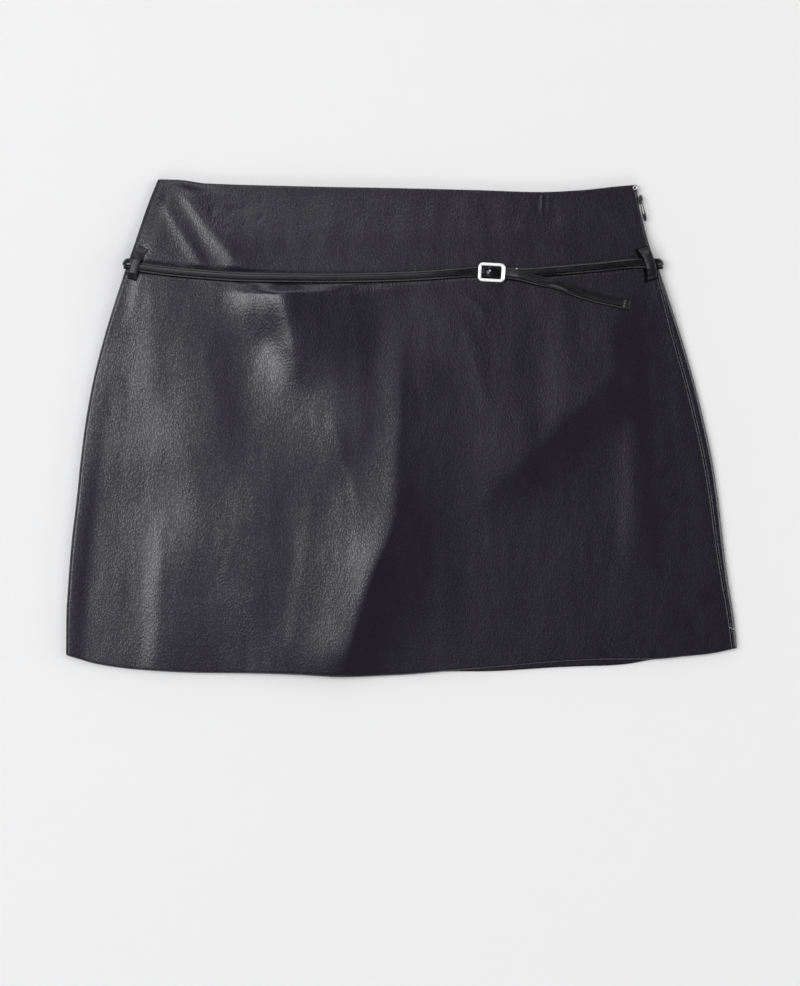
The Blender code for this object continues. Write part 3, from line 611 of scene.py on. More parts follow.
def thread_look(name, colour, roughness):
    """Twisted thread: fine slanted bands."""
    look = new_look(name, colour, roughness)
    twist = wave(look, place_mm(look), 0.9, 0.3, "DIAGONAL")
    feed_bump(look, twist, 0.05)
    feed_colours(look, twist, colour, shade(colour, 1.5))
    return look


jersey = knit_look("black jersey", (0.010, 0.010, 0.012), 0.85, 1.0, 0.7, 0.12)
tape_weave = knit_look("black zip tape", (0.012, 0.012, 0.014), 0.8, 0.5, 0.4, 0.06)
black_thread = thread_look("black thread", (0.028, 0.028, 0.032), 0.45)
# Black thread painted light grey: a painted highlight on the tail's stitches.
thread_painted_light = thread_look("black thread painted grey as highlight", (0.11, 0.11, 0.12), 0.45)
pale_thread = thread_look("pale thread", (0.42, 0.42, 0.44), 0.5)
print("cloths made:", jersey.name, tape_weave.name, black_thread.name, pale_thread.name)

# %% [markdown]
# ### Metals
#
# The buckle is cast and tumbled to a satin silver: a fairly rough metal with fine random
# marks. The slider and its pull are enamelled black, smooth with a faint orange peel.

# %% Metals
def metal_look(name, colour, roughness, metallic, mark, depth, uneven):
    """A metal with fine marks about mark mm apart, and slightly uneven gloss."""
    look = new_look(name, colour, roughness, metallic)
    where = place_mm(look)
    marks = noise(look, where, mark, 4.0, 0.65)
    feed_bump(look, marks, depth)
    broad = noise(look, where, mark * 9, 2.0)
    feed(look, "Roughness", maths(look, "MULTIPLY_ADD", broad, uneven, roughness - uneven / 2))
    feed_colours(look, marks, shade(colour, 0.9), colour)
    return look


satin_silver = metal_look("satin silver", (0.93, 0.93, 0.92), 0.42, 1.0, 0.35, 0.02, 0.16)
black_enamel = metal_look("black enamel", (0.018, 0.018, 0.02), 0.28, 0.0, 0.8, 0.01, 0.1)
print("metals made:", satin_silver.name, "and", black_enamel.name)

# %% [markdown]
# ## The front panel
#
# Leather that lies flat still carries the creases of its last folding. Its edges are
# never sharp: the hem and the waist are turned over, and the side seams roll down into a
# groove. The front is the solid model's form with its broad folds eased, and with listed
# creases, a pressed bed under the belt, shallow dents of what lies inside, and rolled
# edges. A crease is a crest line from one point to another, bowed to one side,
# with its own width to the left and right of the crest as it is seen when it runs down.
# For one that runs to the right, those are the widths below and above it. A height below
# 0 makes a trough. The creases that hang from the belt begin just below it.

# %% Creases of the front
CREASES = (
    # from x, y, to x, y, bow, left width, right width, height, crispness of the crest
    # two short creases that run out of the left corner of the waist, and its curled edge
    (-196, 202, -135, 100, -2, 6, 6, 0.8, 0.4),
    (-184, 210, -102, 96, -3, 9, 20, 1.45, 0.4),
    (-181, 224, -206, 60, 0, 8, 38, 0.8, 0),
    # the long fold near the left side in three overlapping lengths, and the trough beside it
    (-180, 130, -184, -60, -8, 13, 24, 0.25, 0.2),
    (-168, 34, -142, -130, 0, 30, 30, 1.1, 0),
    (-182, -50, -194, -236, 4, 10, 40, 1.0, 0.2),
    (-210, 150, -256, -260, 5, 15, 80, -1.1, 0),
    # the broad low rise further in, and two narrower ones to its right
    (-112, 20, -118, -200, 2, 36, 28, 1.3, 0),
    (-44, 128, -32, -50, 4, 28, 12, 0.7, 0.1),
    (-58, 16, -28, -76, 2, 6, 12, 0.35, 0.6),
    # the middle fold, sharp on its right, which swings to the left at the hem
    (3, 110, -9, -150, 0, 22, 22, 1.5, 0.5),
    (8, 90, -18, -200, 0, 110, 44, 2.4, 0),
    (8, -40, -53, -230, -6, 30, 16, 3.0, 0.5),
    (2, -40, -62, -230, -3, 70, 34, 1.6, 0.2),
    # the rise at the hem, a faint crest above it, and the slope below the belt on the left
    (-10, -196, -140, -196, 0, 40, 10, 1.7, 0),
    (-66, -40, -94, -200, 4, 10, 20, 0.4, 0.4),
    (-156, 116, -130, -56, -3, 120, 19, 1.5, 0.1),
    # faint folds of the right half
    (34, 122, 26, -60, 0, 30, 30, 1.5, 0),
    (42, 96, 68, 0, 2, 13, 14, 0.4, 0.4),
    (82, 110, 76, -54, 0, 34, 30, 1.7, 0),
    (124, 112, 118, -20, 2, 15, 18, 0.8, 0.1),
    (164, 112, 158, -8, 0, 26, 16, 1.5, 0.1),
    (190, 70, 40, -76, 0, 44, 30, 2.6, 0.35),
    (176, 30, 175, -130, 2, 10, 12, 0.6, 0),
    (48, 102, 66, 82, 0.6, 2.5, 5, 0.22, 0.3),
)
HUNG = (
    # the main fold, which hangs from the belt, as crests that overlap
    (-138, 170, -104, 60, 2, 14, 34, 1.6, 0.1),
    (-104, 142, -71, 24, 0, 13, 30, 2.0, 0.2),
    (-104, 180, -77, 14, 3, 17, 34, 2.0, 0.3),
    (-116, 180, -84, -10, 6, 17, 24, 0.7, 0),
    (-70, 180, -44, -50, 4, 34, 44, 2.1, 0.1),
)
DENTS = (
    # what lies inside, pressed through: the same columns as for the creases
    (-134, 165.4, -112.8, 165.6, 0.4, 0.9, 1.5, -0.46, 0),
    (-105.9, 176, -106.1, 169.6, 0, 1.2, 0.8, -0.25, 0),
    (106.9, 178, 106.6, 163, 0, 0.8, 1.3, 0.3, 0),
    (108.5, 178, 108.3, 163, 0, 1.3, 1.3, -0.25, 0),
    (109, 159.6, 121, 159.8, 0.3, 1.2, 1.4, -0.14, 0),
    (-146, 168, -142, 161, 0.6, 2, 2, -0.2, 0),
    (-131.8, 154.5, -130, 151, 0.3, 2.2, 1.8, -0.16, 0),
    (-121, 156, -119.4, 152, 0.3, 2, 1.8, -0.14, 0),
    (-107.8, 162, -106.4, 157, 0.3, 2.2, 1.6, -0.16, 0),
)
CREASE_FADE = 0.35        # share of a crease's length over which each end fades
LATTICE, LATTICE_START = 80, -400


def crease_sum(rows, x, y):
    """Sum of the rows' creases. t runs from 0 to 1 along a crest, which is bowed by 4t(1-t).
    Across it the height falls as a bell, exp(-q squared), or as crispness grows more like
    exp(-2q), which has a sharp crest. At both ends it fades over a third of its length."""
    total = np.zeros(np.broadcast(x, y).shape)
    for x0, y0, x1, y1, bow, left, right, height, crisp in rows:
        length = math.hypot(x1 - x0, y1 - y0)
        along_x, along_y = (x1 - x0) / length, (y1 - y0) / length
        t = np.clip(((x - x0) * along_x + (y - y0) * along_y) / length, 0.0, 1.0)
        across = (y - y0) * along_x - (x - x0) * along_y - bow * 4 * t * (1 - t)
        q_squared = (across / np.where(across < 0, left, right)) ** 2
        sharp = np.exp(-2 * (np.sqrt(q_squared + 0.01) - 0.1))
        fade = smooth_step(t / CREASE_FADE) * smooth_step((1 - t) / CREASE_FADE)
        total = total + height * fade * ((1 - crisp) * np.exp(-q_squared) + crisp * sharp)
    return total


def unevenness(x, y, across, along, seed):
    """Smooth noise between -1 and 1: random values on a lattice, blended by smooth steps."""
    lattice = np.random.default_rng(seed).uniform(-1, 1, (LATTICE, LATTICE))
    u, v = (x - LATTICE_START) / across, (y - LATTICE_START) / along
    i, j = np.floor(u).astype(int), np.floor(v).astype(int)
    s, t = smooth_step(u - i), smooth_step(v - j)
    i, j = i % (LATTICE - 1), j % (LATTICE - 1)
    low = lattice[i, j] * (1 - s) + lattice[i + 1, j] * s
    high = lattice[i, j + 1] * (1 - s) + lattice[i + 1, j + 1] * s
    return low * (1 - t) + high * t


print("creases placed:", len(CREASES) + len(HUNG), "and dents:", len(DENTS))

# %% [markdown]
# The grid is about 2 mm wide, and finer at the edges and where a narrow dent lies. The
# inner face is the same form, lower by the wall, so the sheet is a closed wall that is
# thicker where the hem is turned up inside.

# %% Front panel
EDGE_STEPS = np.array((0.0, 0.25, 0.6, 1.0, 1.5, 2.2, 3.2, 4.6))
CLOTH_STEP = 2.35
FINE_ROWS = (111.5, 116.5, 121.5, 126.0, 165.5)      # heights of the belt's bed and a dent
ROW_SPAN, FINE_COLUMNS = 500, (115.0, 400.0)         # the upright dents, on a row 500 wide
SEAM_ROLL, HEM_ROLL, WAIST_ROLL = 1.2, 1.5, 1.3      # how far in each edge is rounded
SEAM_DROP, HEM_DROP, WAIST_DROP = 0.75, 1.05, 0.7    # and how far its rim falls
EASED = 0.8              # share of the solid's folds that the creases take over
BED_DEPTH, BED_HALF, BED_SLOPE = 0.35, 3.9, 1.9      # the bed that the belt presses
THINNEST = 0.12          # the wall at its rim


def edge_fall(distance, reach, drop):
    """A quarter-round edge: falls by drop at distance 0 and is level from reach inwards."""
    edge = np.clip(1 - distance / reach, 0.0, 1.0)
    return drop * (1 - np.sqrt(1 - edge * edge))


def fine_ended(length, step, marks=()):
    """Places from 0 to length, finer at both ends and at the marks."""
    from_end = EDGE_STEPS[-1] + CLOTH_STEP
    return stations(from_end, length - from_end, step, marks)


def rows_up(marks=()):
    """Rows from hem 0 to waist 1, finer at both ends and at the marked heights in mm."""
    middle = fine_ended(SIDE_LONG, CLOTH_STEP, [mark - (HEM_LEFT_Y + HEM_RIGHT_Y) / 2 for mark in marks])
    return np.concatenate((EDGE_STEPS, middle, SIDE_LONG - EDGE_STEPS[::-1]))[:, None] / SIDE_LONG


def hemmed_wall(v, inside):
    """The wall: thicker in the turned hem, but not at the side folds."""
    turned_up = (1 - smooth_step((v * SIDE_LONG - HEM_DEPTH) / 3)) * smooth_step((inside - 4) / 10)
    return LEATHER + (HEM_WALL - LEATHER) * turned_up


v = rows_up(FINE_ROWS)
left, right, strip = row_sides(v)
first_x = left + FOLD * (1 - math.cos(math.radians(SEAM_ANGLE))) + GAP / 2
last_x = right - strip - GAP / 2
middle_u = fine_ended(ROW_SPAN, CLOTH_STEP + 0.05, FINE_COLUMNS) / ROW_SPAN
x = np.hstack((first_x + EDGE_STEPS, first_x + middle_u * (last_x - first_x), last_x - EDGE_STEPS[::-1]))
hem_y, y, waist_y = row_heights(x, v)
form = front_height(x, y, left, right)
near_belt = 1 - 0.7 * np.exp(-((y - belt_y(x)) / 5) ** 4)
at_edge = smooth_step((x - first_x) / 14) * smooth_step((last_x - x) / 10) * smooth_step((waist_y - y) / 9)
uneven = 0.10 * unevenness(x, y, 15, 34, 3) + 0.05 * unevenness(x, y, 6, 15, 5)
from_belt = np.abs(y - belt_y(x) + 0.3)
surface = (form - BED_DEPTH * smooth_step((BED_HALF + BED_SLOPE - from_belt) / BED_SLOPE)
           - EASED * folds(x, y) * freedom(x, y, left, right) * near_belt
           + (crease_sum(CREASES, x, y) + uneven) * near_belt * at_edge + crease_sum(DENTS, x, y)
           + crease_sum(HUNG, x, y) * smooth_step((belt_y(x) - 2 - y) / 12))
rolled = (edge_fall(x - first_x, SEAM_ROLL, SEAM_DROP) + edge_fall(last_x - x, SEAM_ROLL, SEAM_DROP)
          + edge_fall(y - hem_y, HEM_ROLL, HEM_DROP) + edge_fall(waist_y - y, WAIST_ROLL, WAIST_DROP))
wall = hemmed_wall(v, np.minimum(x - left, right - x))
upper = surface - np.minimum(rolled, wall * 0.75)
lower = np.minimum(surface - wall + np.minimum(rolled * 0.5, wall / 2), upper - THINNEST)
front_leather = add_piece("front_leather", wall_between(x, y, upper, lower), faux_leather,
                          instead_of=["front_panel"])
print("creases reach", round(float(np.abs(surface - form).max()), 2), "mm from the solid's form")

# %% [markdown]
# ## The back panel
#
# The back is one sheet that starts at the right seam, folds round the right side, lies
# flat on the table, and folds up round the left side to meet the front. Its outline is
# a profile across the garment, carried from the hem to the waist. It rests on the table,
# so it has no creases below, only the grain.

# %% Back panel
BACK_COLUMNS, BACK_HEM_FALL, BACK_WAIST_FALL = 112, 0.5, 0.45
LEFT_SEAM_EDGE = (0.9, 0.5)      # how far in it is rounded, and how far its rim falls
FAR = 99.0               # a distance at which no edge is felt


def right_fold(left, right, strip):
    """x, height from 0 to 1 and length so far, of points from the right seam round to the
    back: first level, then round a half circle, spaced evenly by length."""
    start_x = right - strip + GAP / 2
    angle = np.where(start_x > right - FOLD, np.arccos(
        np.clip((start_x - right + FOLD) / FOLD, -1, 1)), math.pi / 2)
    flat = np.maximum(right - FOLD - start_x, 0.0)
    length = flat + FOLD * (angle + math.pi / 2)
    along = np.concatenate(((0.0, 0.02, 0.05, 0.09), np.linspace(0.13, 1, 18))) * length
    on_flat = along < flat
    turned = angle - (along - flat) / FOLD
    x = np.where(on_flat, start_x + along, right - FOLD + FOLD * np.cos(turned))
    return x, np.where(on_flat, 1.0, (1 + np.sin(turned)) / 2), along


def grid_normals(points):
    """Unit normals of a grid of points: the cross product of its two directions."""
    return unit(np.cross(np.gradient(points, axis=1), np.gradient(points, axis=0)))


v = rows_up()
left, right, strip = row_sides(v)
x_right, rise_right, along_right = right_fold(left, right, strip)
x_back = (right - FOLD) + np.linspace(0, 1, BACK_COLUMNS)[1:-1] * (left - right + 2 * FOLD)
stop = SEAM_ANGLE - math.degrees(GAP / 2 / FOLD)
angles = np.radians(np.concatenate((np.linspace(-90, stop - 12, 14), (stop - 7, stop - 3, stop))))
x_left = left + FOLD - FOLD * np.cos(angles)
rise_left = np.broadcast_to((1 + np.sin(angles)) / 2, x_left.shape)
x = np.hstack((x_right, x_back, x_left))
rise = np.hstack((rise_right, np.zeros_like(x_back), rise_left))
hem_y, y, waist_y = row_heights(x, v, drop=1.0)
bottom = lift(y, *BACK_RISE)
points = points_from(x, y, bottom + rise * (STACK + lift(y, *FRONT_RISE) - bottom))
from_right_seam, from_left_seam = np.full((2, *x.shape), FAR)
from_right_seam[:, :along_right.shape[1]] = along_right
from_left_seam[:, -len(angles):] = FOLD * (angles[-1] - angles)
rolled = (edge_fall(from_right_seam, SEAM_ROLL, SEAM_DROP) + edge_fall(from_left_seam, *LEFT_SEAM_EDGE)
          + edge_fall(y - hem_y, HEM_ROLL, BACK_HEM_FALL)
          + edge_fall(waist_y - y, WAIST_ROLL, BACK_WAIST_FALL))[:, :, None]
wall = hemmed_wall(v, np.minimum(x - left, right - x))[:, :, None]
normal = grid_normals(points)
outer = points - normal * np.minimum(rolled, wall * 0.6)
inner = points - normal * np.maximum(wall - rolled * 0.4, wall * 0.62)
back_leather = add_piece("back_leather", cloth_wall(outer, inner), faux_leather,
                         instead_of=["back_panel"])

# %% [markdown]
# ## The inner shorts
#
# The jersey shorts lie between the panels, smooth and flat, as two layers with a slot
# between the legs. They are seen only at the openings, so a plain grid is enough.

# %% Shorts
SHORTS_IN_LEFT, SHORTS_IN_RIGHT = 9.0, 12.0
SHORTS_HEM_Y, CROTCH_Y = -140.0, -62.0
LEG_GAP = 12.0
SHORTS_BELOW_WAIST = 1.5


def shorts_layer(name, base, level, slope, instead_of):
    """One layer: a flat grid from the leg hems to the waist, without the quads of the slot."""
    half = np.linspace(0, 1, 34)
    y_rows = np.concatenate((np.linspace(SHORTS_HEM_Y, 84, 44), np.linspace(86, WAIST_RIGHT_Y - 4, 40)))
    y_rows = y_rows[:, None]
    rows = (y_rows - SHORTS_HEM_Y) / (y_rows[-1] - SHORTS_HEM_Y)
    left = left_edge(y_rows) + SHORTS_IN_LEFT
    right = right_edge(y_rows) - SHORTS_IN_RIGHT
    middle = (left + right) / 2
    x = np.hstack((left + half * (middle - LEG_GAP / 2 - left),
                   middle + LEG_GAP / 2 + half * (right - middle - LEG_GAP / 2)))
    y = SHORTS_HEM_Y + rows * (table(WAIST_EDGE, 1, x) - SHORTS_BELOW_WAIST - SHORTS_HEM_Y)
    z = base + lift(y, BACK_BELT_Y - 2, level, slope)
    keep = np.ones((len(y_rows) - 1, x.shape[1] - 1), bool)
    keep[y_rows[:-1, 0] < CROTCH_Y, len(half) - 1] = False
    return add_piece(name, wall_between(x, y, z, z - JERSEY, keep), jersey,
                     instead_of=instead_of)


shorts_back = shorts_layer("shorts_back_jersey", LEATHER + GAP + JERSEY, 6.0, 26.0, ["shorts_back"])
shorts_front = shorts_layer("shorts_front_jersey", LEATHER + 2 * GAP + 2 * JERSEY, 8.0, 38.0,
                            ["shorts_front"])

# %% [markdown]
# ## The belt
#
# The belt is one strip of leather folded over a cord. The cord makes the broad round
# piping along its upper edge, and the two raw edges are sewn flat together below it. So
# its section is a flat flange, a groove and a round. That section is carried along the
# path: from the buckle round the right side, under the back, round the left side, through
# the buckle and out to the tail.

# %% Belt path
TURN_START = 3.0
TURN_OUT_LEFT, TURN_OUT_RIGHT = 1.6, 3.4
LEFT_TURN_Y = 124.6
BUCKLE_SPREAD = (-210, 30, 56, 82, 106, 200)
BUCKLE_DENSITY = (1, 1, 5, 5, 1.4, 1)
BACK_STATIONS = 60


def dense_run(rows, count):
    """One front run of the belt: x, y, z, thickness, roll and side lean, closest together
    near the buckle, where it bends most."""
    columns = [np.array(column, float) for column in zip(*rows)]
    if len(columns) == 4:
        columns.append(np.zeros(len(rows)))
    steps = np.hypot(np.diff(columns[0]), np.diff(columns[1]))
    close = through(BUCKLE_SPREAD, BUCKLE_DENSITY, columns[0])
    length, weight = running_sum(steps), running_sum(steps * (close[:-1] + close[1:]) / 2)
    at = np.interp(np.linspace(0, weight[-1], count), weight, length)
    x, y, seat, press, roll = (through(length, column, at) for column in columns)
    return np.column_stack((x, y, front_z(x, y) + seat, press, roll, np.zeros(count)))


def side_turn(edge, direction, out, y):
    """The belt's turn round a side: half an ellipse, its width leaning as the side does."""
    edge_x = float(edge(y))
    slant = (float(edge(y + STRAP_WIDE / 2)) - float(edge(y - STRAP_WIDE / 2))) / STRAP_WIDE
    start_x = edge_x - direction * TURN_START
    high, low = float(front_z(start_x, y)) + STRAP_SEAT, BELT_LIFT - GAP
    angles = np.radians(np.linspace(90, -90, 19))[1:-1] * direction
    x = start_x + direction * (TURN_START + out) * np.cos(angles)
    z = (high + low) / 2 + (high - low) / 2 * np.sin(angles)
    return np.column_stack(np.broadcast_arrays(x, y, z, 1.0, 0.0, slant * np.cos(angles)))


def belt_path():
    """Middle line of the belt's inner face, from the buckle round to the tail's tip."""
    right_x = float(right_edge(BACK_BELT_Y)) - TURN_START
    left_x = float(left_edge(BACK_BELT_Y)) + TURN_START
    back_x = np.linspace(right_x, left_x, BACK_STATIONS)
    back = np.broadcast_arrays(back_x, BACK_BELT_Y, BELT_LIFT - GAP, 1.0, 0.0, 0.0)
    return np.vstack((dense_run(RIGHT_RUN + ((right_x, BACK_BELT_Y, STRAP_SEAT, 1),), 56),
                      side_turn(right_edge, 1, TURN_OUT_RIGHT, BACK_BELT_Y),
                      np.column_stack(back),
                      side_turn(left_edge, -1, TURN_OUT_LEFT, BACK_BELT_Y),
                      dense_run(((left_x, LEFT_TURN_Y, STRAP_SEAT, 1, 0),) + LEFT_RUN, 150)))


def belt_frame(path):
    """Directions along the path, across the strap (kept close to y) and outwards."""
    tangent = unit(np.gradient(path[:, :3], axis=0))
    upwards = points_from(path[:, 5], 1.0, 0.0)
    wide = unit(upwards - (tangent * upwards).sum(axis=1, keepdims=True) * tangent)
    out = np.cross(tangent, wide)
    roll = np.radians(path[:, 4])[:, None]
    return tangent, wide * np.cos(roll) + out * np.sin(roll), out * np.cos(roll) - wide * np.sin(roll)


def read_along(values, at):
    """Columns of values, one row at each station of the belt, read at lengths along it."""
    return np.stack([np.interp(at, belt_length, column) for column in values.T], axis=-1)


path = belt_path()
along_belt, wide_belt, out_belt = belt_frame(path)
belt_length = running_sum(np.linalg.norm(np.diff(path[:, :3], axis=0), axis=1))
belt_end = belt_length[-1]
print("belt:", len(path), "sections,", round(float(belt_end)), "mm from buckle bar to tip")

# %% [markdown]
# The section is given by a few points for the flange and by an ellipse for the piping.
# A little unevenness along the way keeps the long highlight on the piping from looking
# drawn with a ruler. The tail, from the buckle on, is duller. The raw edge below the flange
# is dyed, and it reaches about 0.7 mm past the flange as a black line of painted shadow
# below the belt.

# %% Belt strap
TAIL_LONG = 101.0         # from the buckle's bar to the tip
PIPING_FROM = -2.0        # the part of the section beyond this is the piping
FLANGE = ((-3.3, 0), (-3.6, 0.05), (-3.66, 0.2), (-3.58, 0.38), (-3.35, 0.52), (-3.0, 0.7),
          (-2.65, 0.86), (-2.42, 0.93), (-2.26, 0.85), (-2.14, 0.55), (-2.06, 0.2))
GROOVE = ((-2.02, 0.8), (-1.95, 1.4), (-1.82, 1.85))
UNDERSIDE = ((2.7, 0), (1, 0), (-1, 0), (-2.4, 0))
RAW_EDGE_AND_SHADOW = np.array(((-3.4, 0.02), (-4.2, 0.02), (-4.35, 0.12), (-4.2, 0.26), (-3.5, 0.3)))
piping_angles = np.radians(np.linspace(106, -2, 18))
piping = np.column_stack((-0.5 + 4.15 * np.cos(piping_angles), 0.1 + 2.05 * np.sin(piping_angles)))
strap_section = np.vstack((FLANGE, GROOVE, piping, UNDERSIDE))


def carried(section, swell):
    """The section's points at every station of the belt: across it and outwards from it.
    Where the swell is above 0 the piping is thicker."""
    across, outwards = section[None, :, :1], section[None, :, 1:] * path[:, 3][:, None, None]
    outwards = outwards * (1 + swell[:, None, None] * (across > PIPING_FROM))
    return path[:, None, :3] + across * wide_belt[:, None, :] + outwards * out_belt[:, None, :]


belt_rings = carried(strap_section, 0.05 * unevenness(belt_length, belt_length * 0, 11, 10, 8))
tail_from = int(np.searchsorted(belt_length, belt_end - TAIL_LONG))
for name, rings, look in (("belt_piped_strap", belt_rings[:tail_from + 1], belt_leather),
                          ("belt_tail_strap", belt_rings[tail_from:], loop_leather)):
    add_piece(name, tube(rings), look, instead_of=["belt_strap"], sharp=60)
# Partly the real dyed raw edge, partly painted shadow: it reaches about 0.7 mm past the flange as a black
# line below the belt.
add_piece("belt_raw_edge_and_painted_shadow", tube(carried(RAW_EDGE_AND_SHADOW, belt_length * 0)), edge_dye_and_painted_shadow)

# %% [markdown]
# The stitches along the flange are short capsules, one every 2.1 mm, each half sunk in
# the leather. One capsule is made once and set down along the path by arrays.

# %% Belt stitching
STITCH_PITCH, STITCH_ACROSS, STITCH_UP, STITCH_SLANT = 2.1, -2.8, 0.82, 0.10
FIRST_STITCH, LAST_STITCH = 12.0, 5.5      # from the buckle's bar, and from the tip


def capsule(length, half_wide, half_high):
    """A stitch that lies along x: rings whose size is the root of 1 - t to the fourth."""
    t = np.linspace(-1, 1, 5)[:, None]
    size = np.sqrt(np.clip(1 - t ** 4, 0.12, 1))
    angles = full_turn(8)
    return tube(points_from(t * length / 2, size * half_wide * np.cos(angles),
                            size * half_high * np.sin(angles)))


at = np.arange(FIRST_STITCH, belt_end - LAST_STITCH, STITCH_PITCH)
along, wide, out = (unit(read_along(values, at)) for values in (along_belt, wide_belt, out_belt))
sunk = STITCH_UP * read_along(path[:, 3:4], at)
centres = read_along(path[:, :3], at) + STITCH_ACROSS * wide + sunk * out
stitches = copies(capsule(1.5, 0.22, 0.17), centres, unit(along + STITCH_SLANT * wide), out)
add_piece("belt_stitching", stitches, black_thread)

# %% [markdown]
# The tail ends in a squared fold, a little thicker and wider than the strap, closed by
# three small stitches across it. Their black thread is painted light grey, as a painted highlight.

# %% Tail fold
TAIL_FOLD, PAST_TIP = 4.8, 0.25
FOLD_WIDE, FOLD_THICK, FOLD_CORNER, FOLD_UP = 7.9, 2.3, 0.9, 1.12
FOLD_RINGS, FOLD_STITCH_UP = 9, 2.24


def rounded_rectangle(wide, tall, radius, per_corner=5):
    """Points round a rectangle with round corners, starting at its right side."""
    corner = np.repeat(np.arange(4), per_corner)
    angles = np.radians(90 * (corner + np.tile(np.linspace(0, 1, per_corner), 4)))
    sign_x, sign_y = np.array((1, -1, -1, 1))[corner], np.array((1, 1, -1, -1))[corner]
    return np.column_stack((sign_x * (wide / 2 - radius) + radius * np.cos(angles),
                            sign_y * (tall / 2 - radius) + radius * np.sin(angles)))


tip_along, tip_wide, tip_out = along_belt[-1], wide_belt[-1], out_belt[-1]
tip_at = np.linspace(belt_end - TAIL_FOLD, belt_end + PAST_TIP, FOLD_RINGS)
tip_centre = read_along(path[:, :3], tip_at) + np.clip(tip_at - belt_end, 0, None)[:, None] * tip_along
tip_size = np.sqrt(np.clip(1 - np.linspace(-1, 1, FOLD_RINGS) ** 8, 0.55, 1))[:, None, None]
tip_section = tip_size * rounded_rectangle(FOLD_WIDE, FOLD_THICK, FOLD_CORNER)
tip_rings = (tip_centre[:, None, :] + tip_section[..., :1] * tip_wide
             + (FOLD_UP + tip_section[..., 1:]) * tip_out)
add_piece("belt_tail_fold", tube(tip_rings), loop_leather, sharp=60)

centres = tip_centre[2] + np.array((-2.0, 0.1, 2.2))[:, None] * tip_wide + FOLD_STITCH_UP * tip_out
add_piece("tail_stitches", copies(capsule(1.6, 0.24, 0.2), centres, tip_along, tip_out),
          thread_painted_light)

# %% [markdown]
# ## The belt loops
#
# Each loop is a strip of leather with its edges turned under. It is sewn down at both
# ends and stands over the belt between them. Its upper face is crowned across, and its two
# ends are thicker, because the strip is folded under there. A flat black sheet lies on the
# front and shows beyond the loop's inner side and ends: painted shadow beside the loop.

# %% Belt loops
LOOPS = (
    # name, solid, top x, y, bottom x, y, width at the top and the bottom, bow to the outside,
    # lean, how far the black sheet of painted shadow under the loop shows beyond the inner side
    ("loop_left_strip", "belt_loop_left", -195.6, 137.0, -204.1, 113.1, 8.0, 6.8, -1.7, 0.10, 0.9),
    ("loop_right_strip", "belt_loop_right", 183.1, 136.6, 190.4, 112.8, 8.2, 7.2, 1.9, 0.02, 2.4),
)
LOOP_WALL, LOOP_SEAT = 1.2, 0.4
LOOP_RISE = STRAP_SEAT + STRAP_THICK + 0.35
LOOP_CROWN = 0.4         # how far the raised part bends down at its two sides
LOOP_HALF_RISE, LOOP_SLOPE = 11.4, 6.4      # half the raised length, and its slope's
LOOP_SEWN = 2.0          # from each end to its row of stitches
SIDE_SHARES = np.array((1, 0.975, 0.93, 0.85))


def add_loop(name, solid, top_x, top_y, bottom_x, bottom_y, top_width, bottom_width, bow, lean, shows):
    """A strip along b and across a: it follows the front, and rises over the belt by a
    smooth step. Its edges are quarter rounds. The black sheet of painted shadow under it and the stitches
    follow."""
    length = math.hypot(bottom_x - top_x, bottom_y - top_y)
    along_x, along_y = (bottom_x - top_x) / length, (bottom_y - top_y) / length
    middle_x, middle_y = (top_x + bottom_x) / 2, (top_y + bottom_y) / 2

    def place(b, a):
        """x and y of the point b along and a across, where the middle line bows outwards."""
        t = b / length + 0.5
        a = a + bow * 4 * t * (1 - t)
        return middle_x + b * along_x - a * along_y, middle_y + b * along_y + a * along_x

    over = (middle_y - float(belt_y(middle_x))) / -along_y
    b = stations(-length / 2, length / 2, 0.6)[::-1, None]
    half = (top_width + (bottom_width - top_width) * smooth_step(b / length * 1.6 + 0.8)) / 2
    share = np.concatenate((-SIDE_SHARES, np.linspace(-0.74, 0.74, 11), SIDE_SHARES[::-1]))
    x, y = place(b, share * half)
    from_side, from_end = 1 - np.abs(share), length / 2 - np.abs(b)
    rise = smooth_step((LOOP_HALF_RISE - np.abs(b - over)) / LOOP_SLOPE)
    lower = (front_z(x, y) + LOOP_SEAT
             + rise * (LOOP_RISE - LOOP_SEAT + lean * share * half - LOOP_CROWN * share ** 2))
    folded = 0.25 * smooth_step((3.6 - from_end) / 1.2)
    rim = np.minimum(edge_fall(from_side * half, 0.7, 0.6) + edge_fall(from_end, 0.6, 0.45), 0.8)
    sewn = 0.3 * np.exp(-((from_end - LOOP_SEWN) / 0.45) ** 2) * smooth_step(from_side * 3)
    add_piece(name, wall_between(x, y, lower + LOOP_WALL + folded - rim - sewn, lower),
              loop_leather, instead_of=[solid])

    # The black sheet under the loop is painted shadow: it stands for the shade beside the loop's inner
    # side and ends.
    half = (top_width + bottom_width) / 4
    reach = np.sort(-np.sign(bow) * np.linspace(-half - 0.5, half + shows, 9))
    x, y = place(np.linspace(length / 2 + 0.9, -length / 2 - 0.6, 30)[:, None], reach)
    low = front_z(x, y) - 0.1
    add_piece(name + "_painted_shadow_sheet", wall_between(x, y, low + 0.42, low), edge_dye_and_painted_shadow)

    ends = np.array((LOOP_SEWN - length / 2, length / 2 - LOOP_SEWN))
    across = (np.arange(4) - 1.5) * (bottom_width - 2.4) / 3.4
    x, y = place(np.repeat(ends, 4), np.tile(across, 2))
    centres = points_from(x, y, front_z(x, y) + LOOP_SEAT + LOOP_WALL + 0.10)
    stitches = copies(capsule(1.35, 0.22, 0.2), centres, (-along_y, along_x, 0), UP)
    add_piece(name + "_stitches", stitches, black_thread)


for row in LOOPS:
    add_loop(*row)

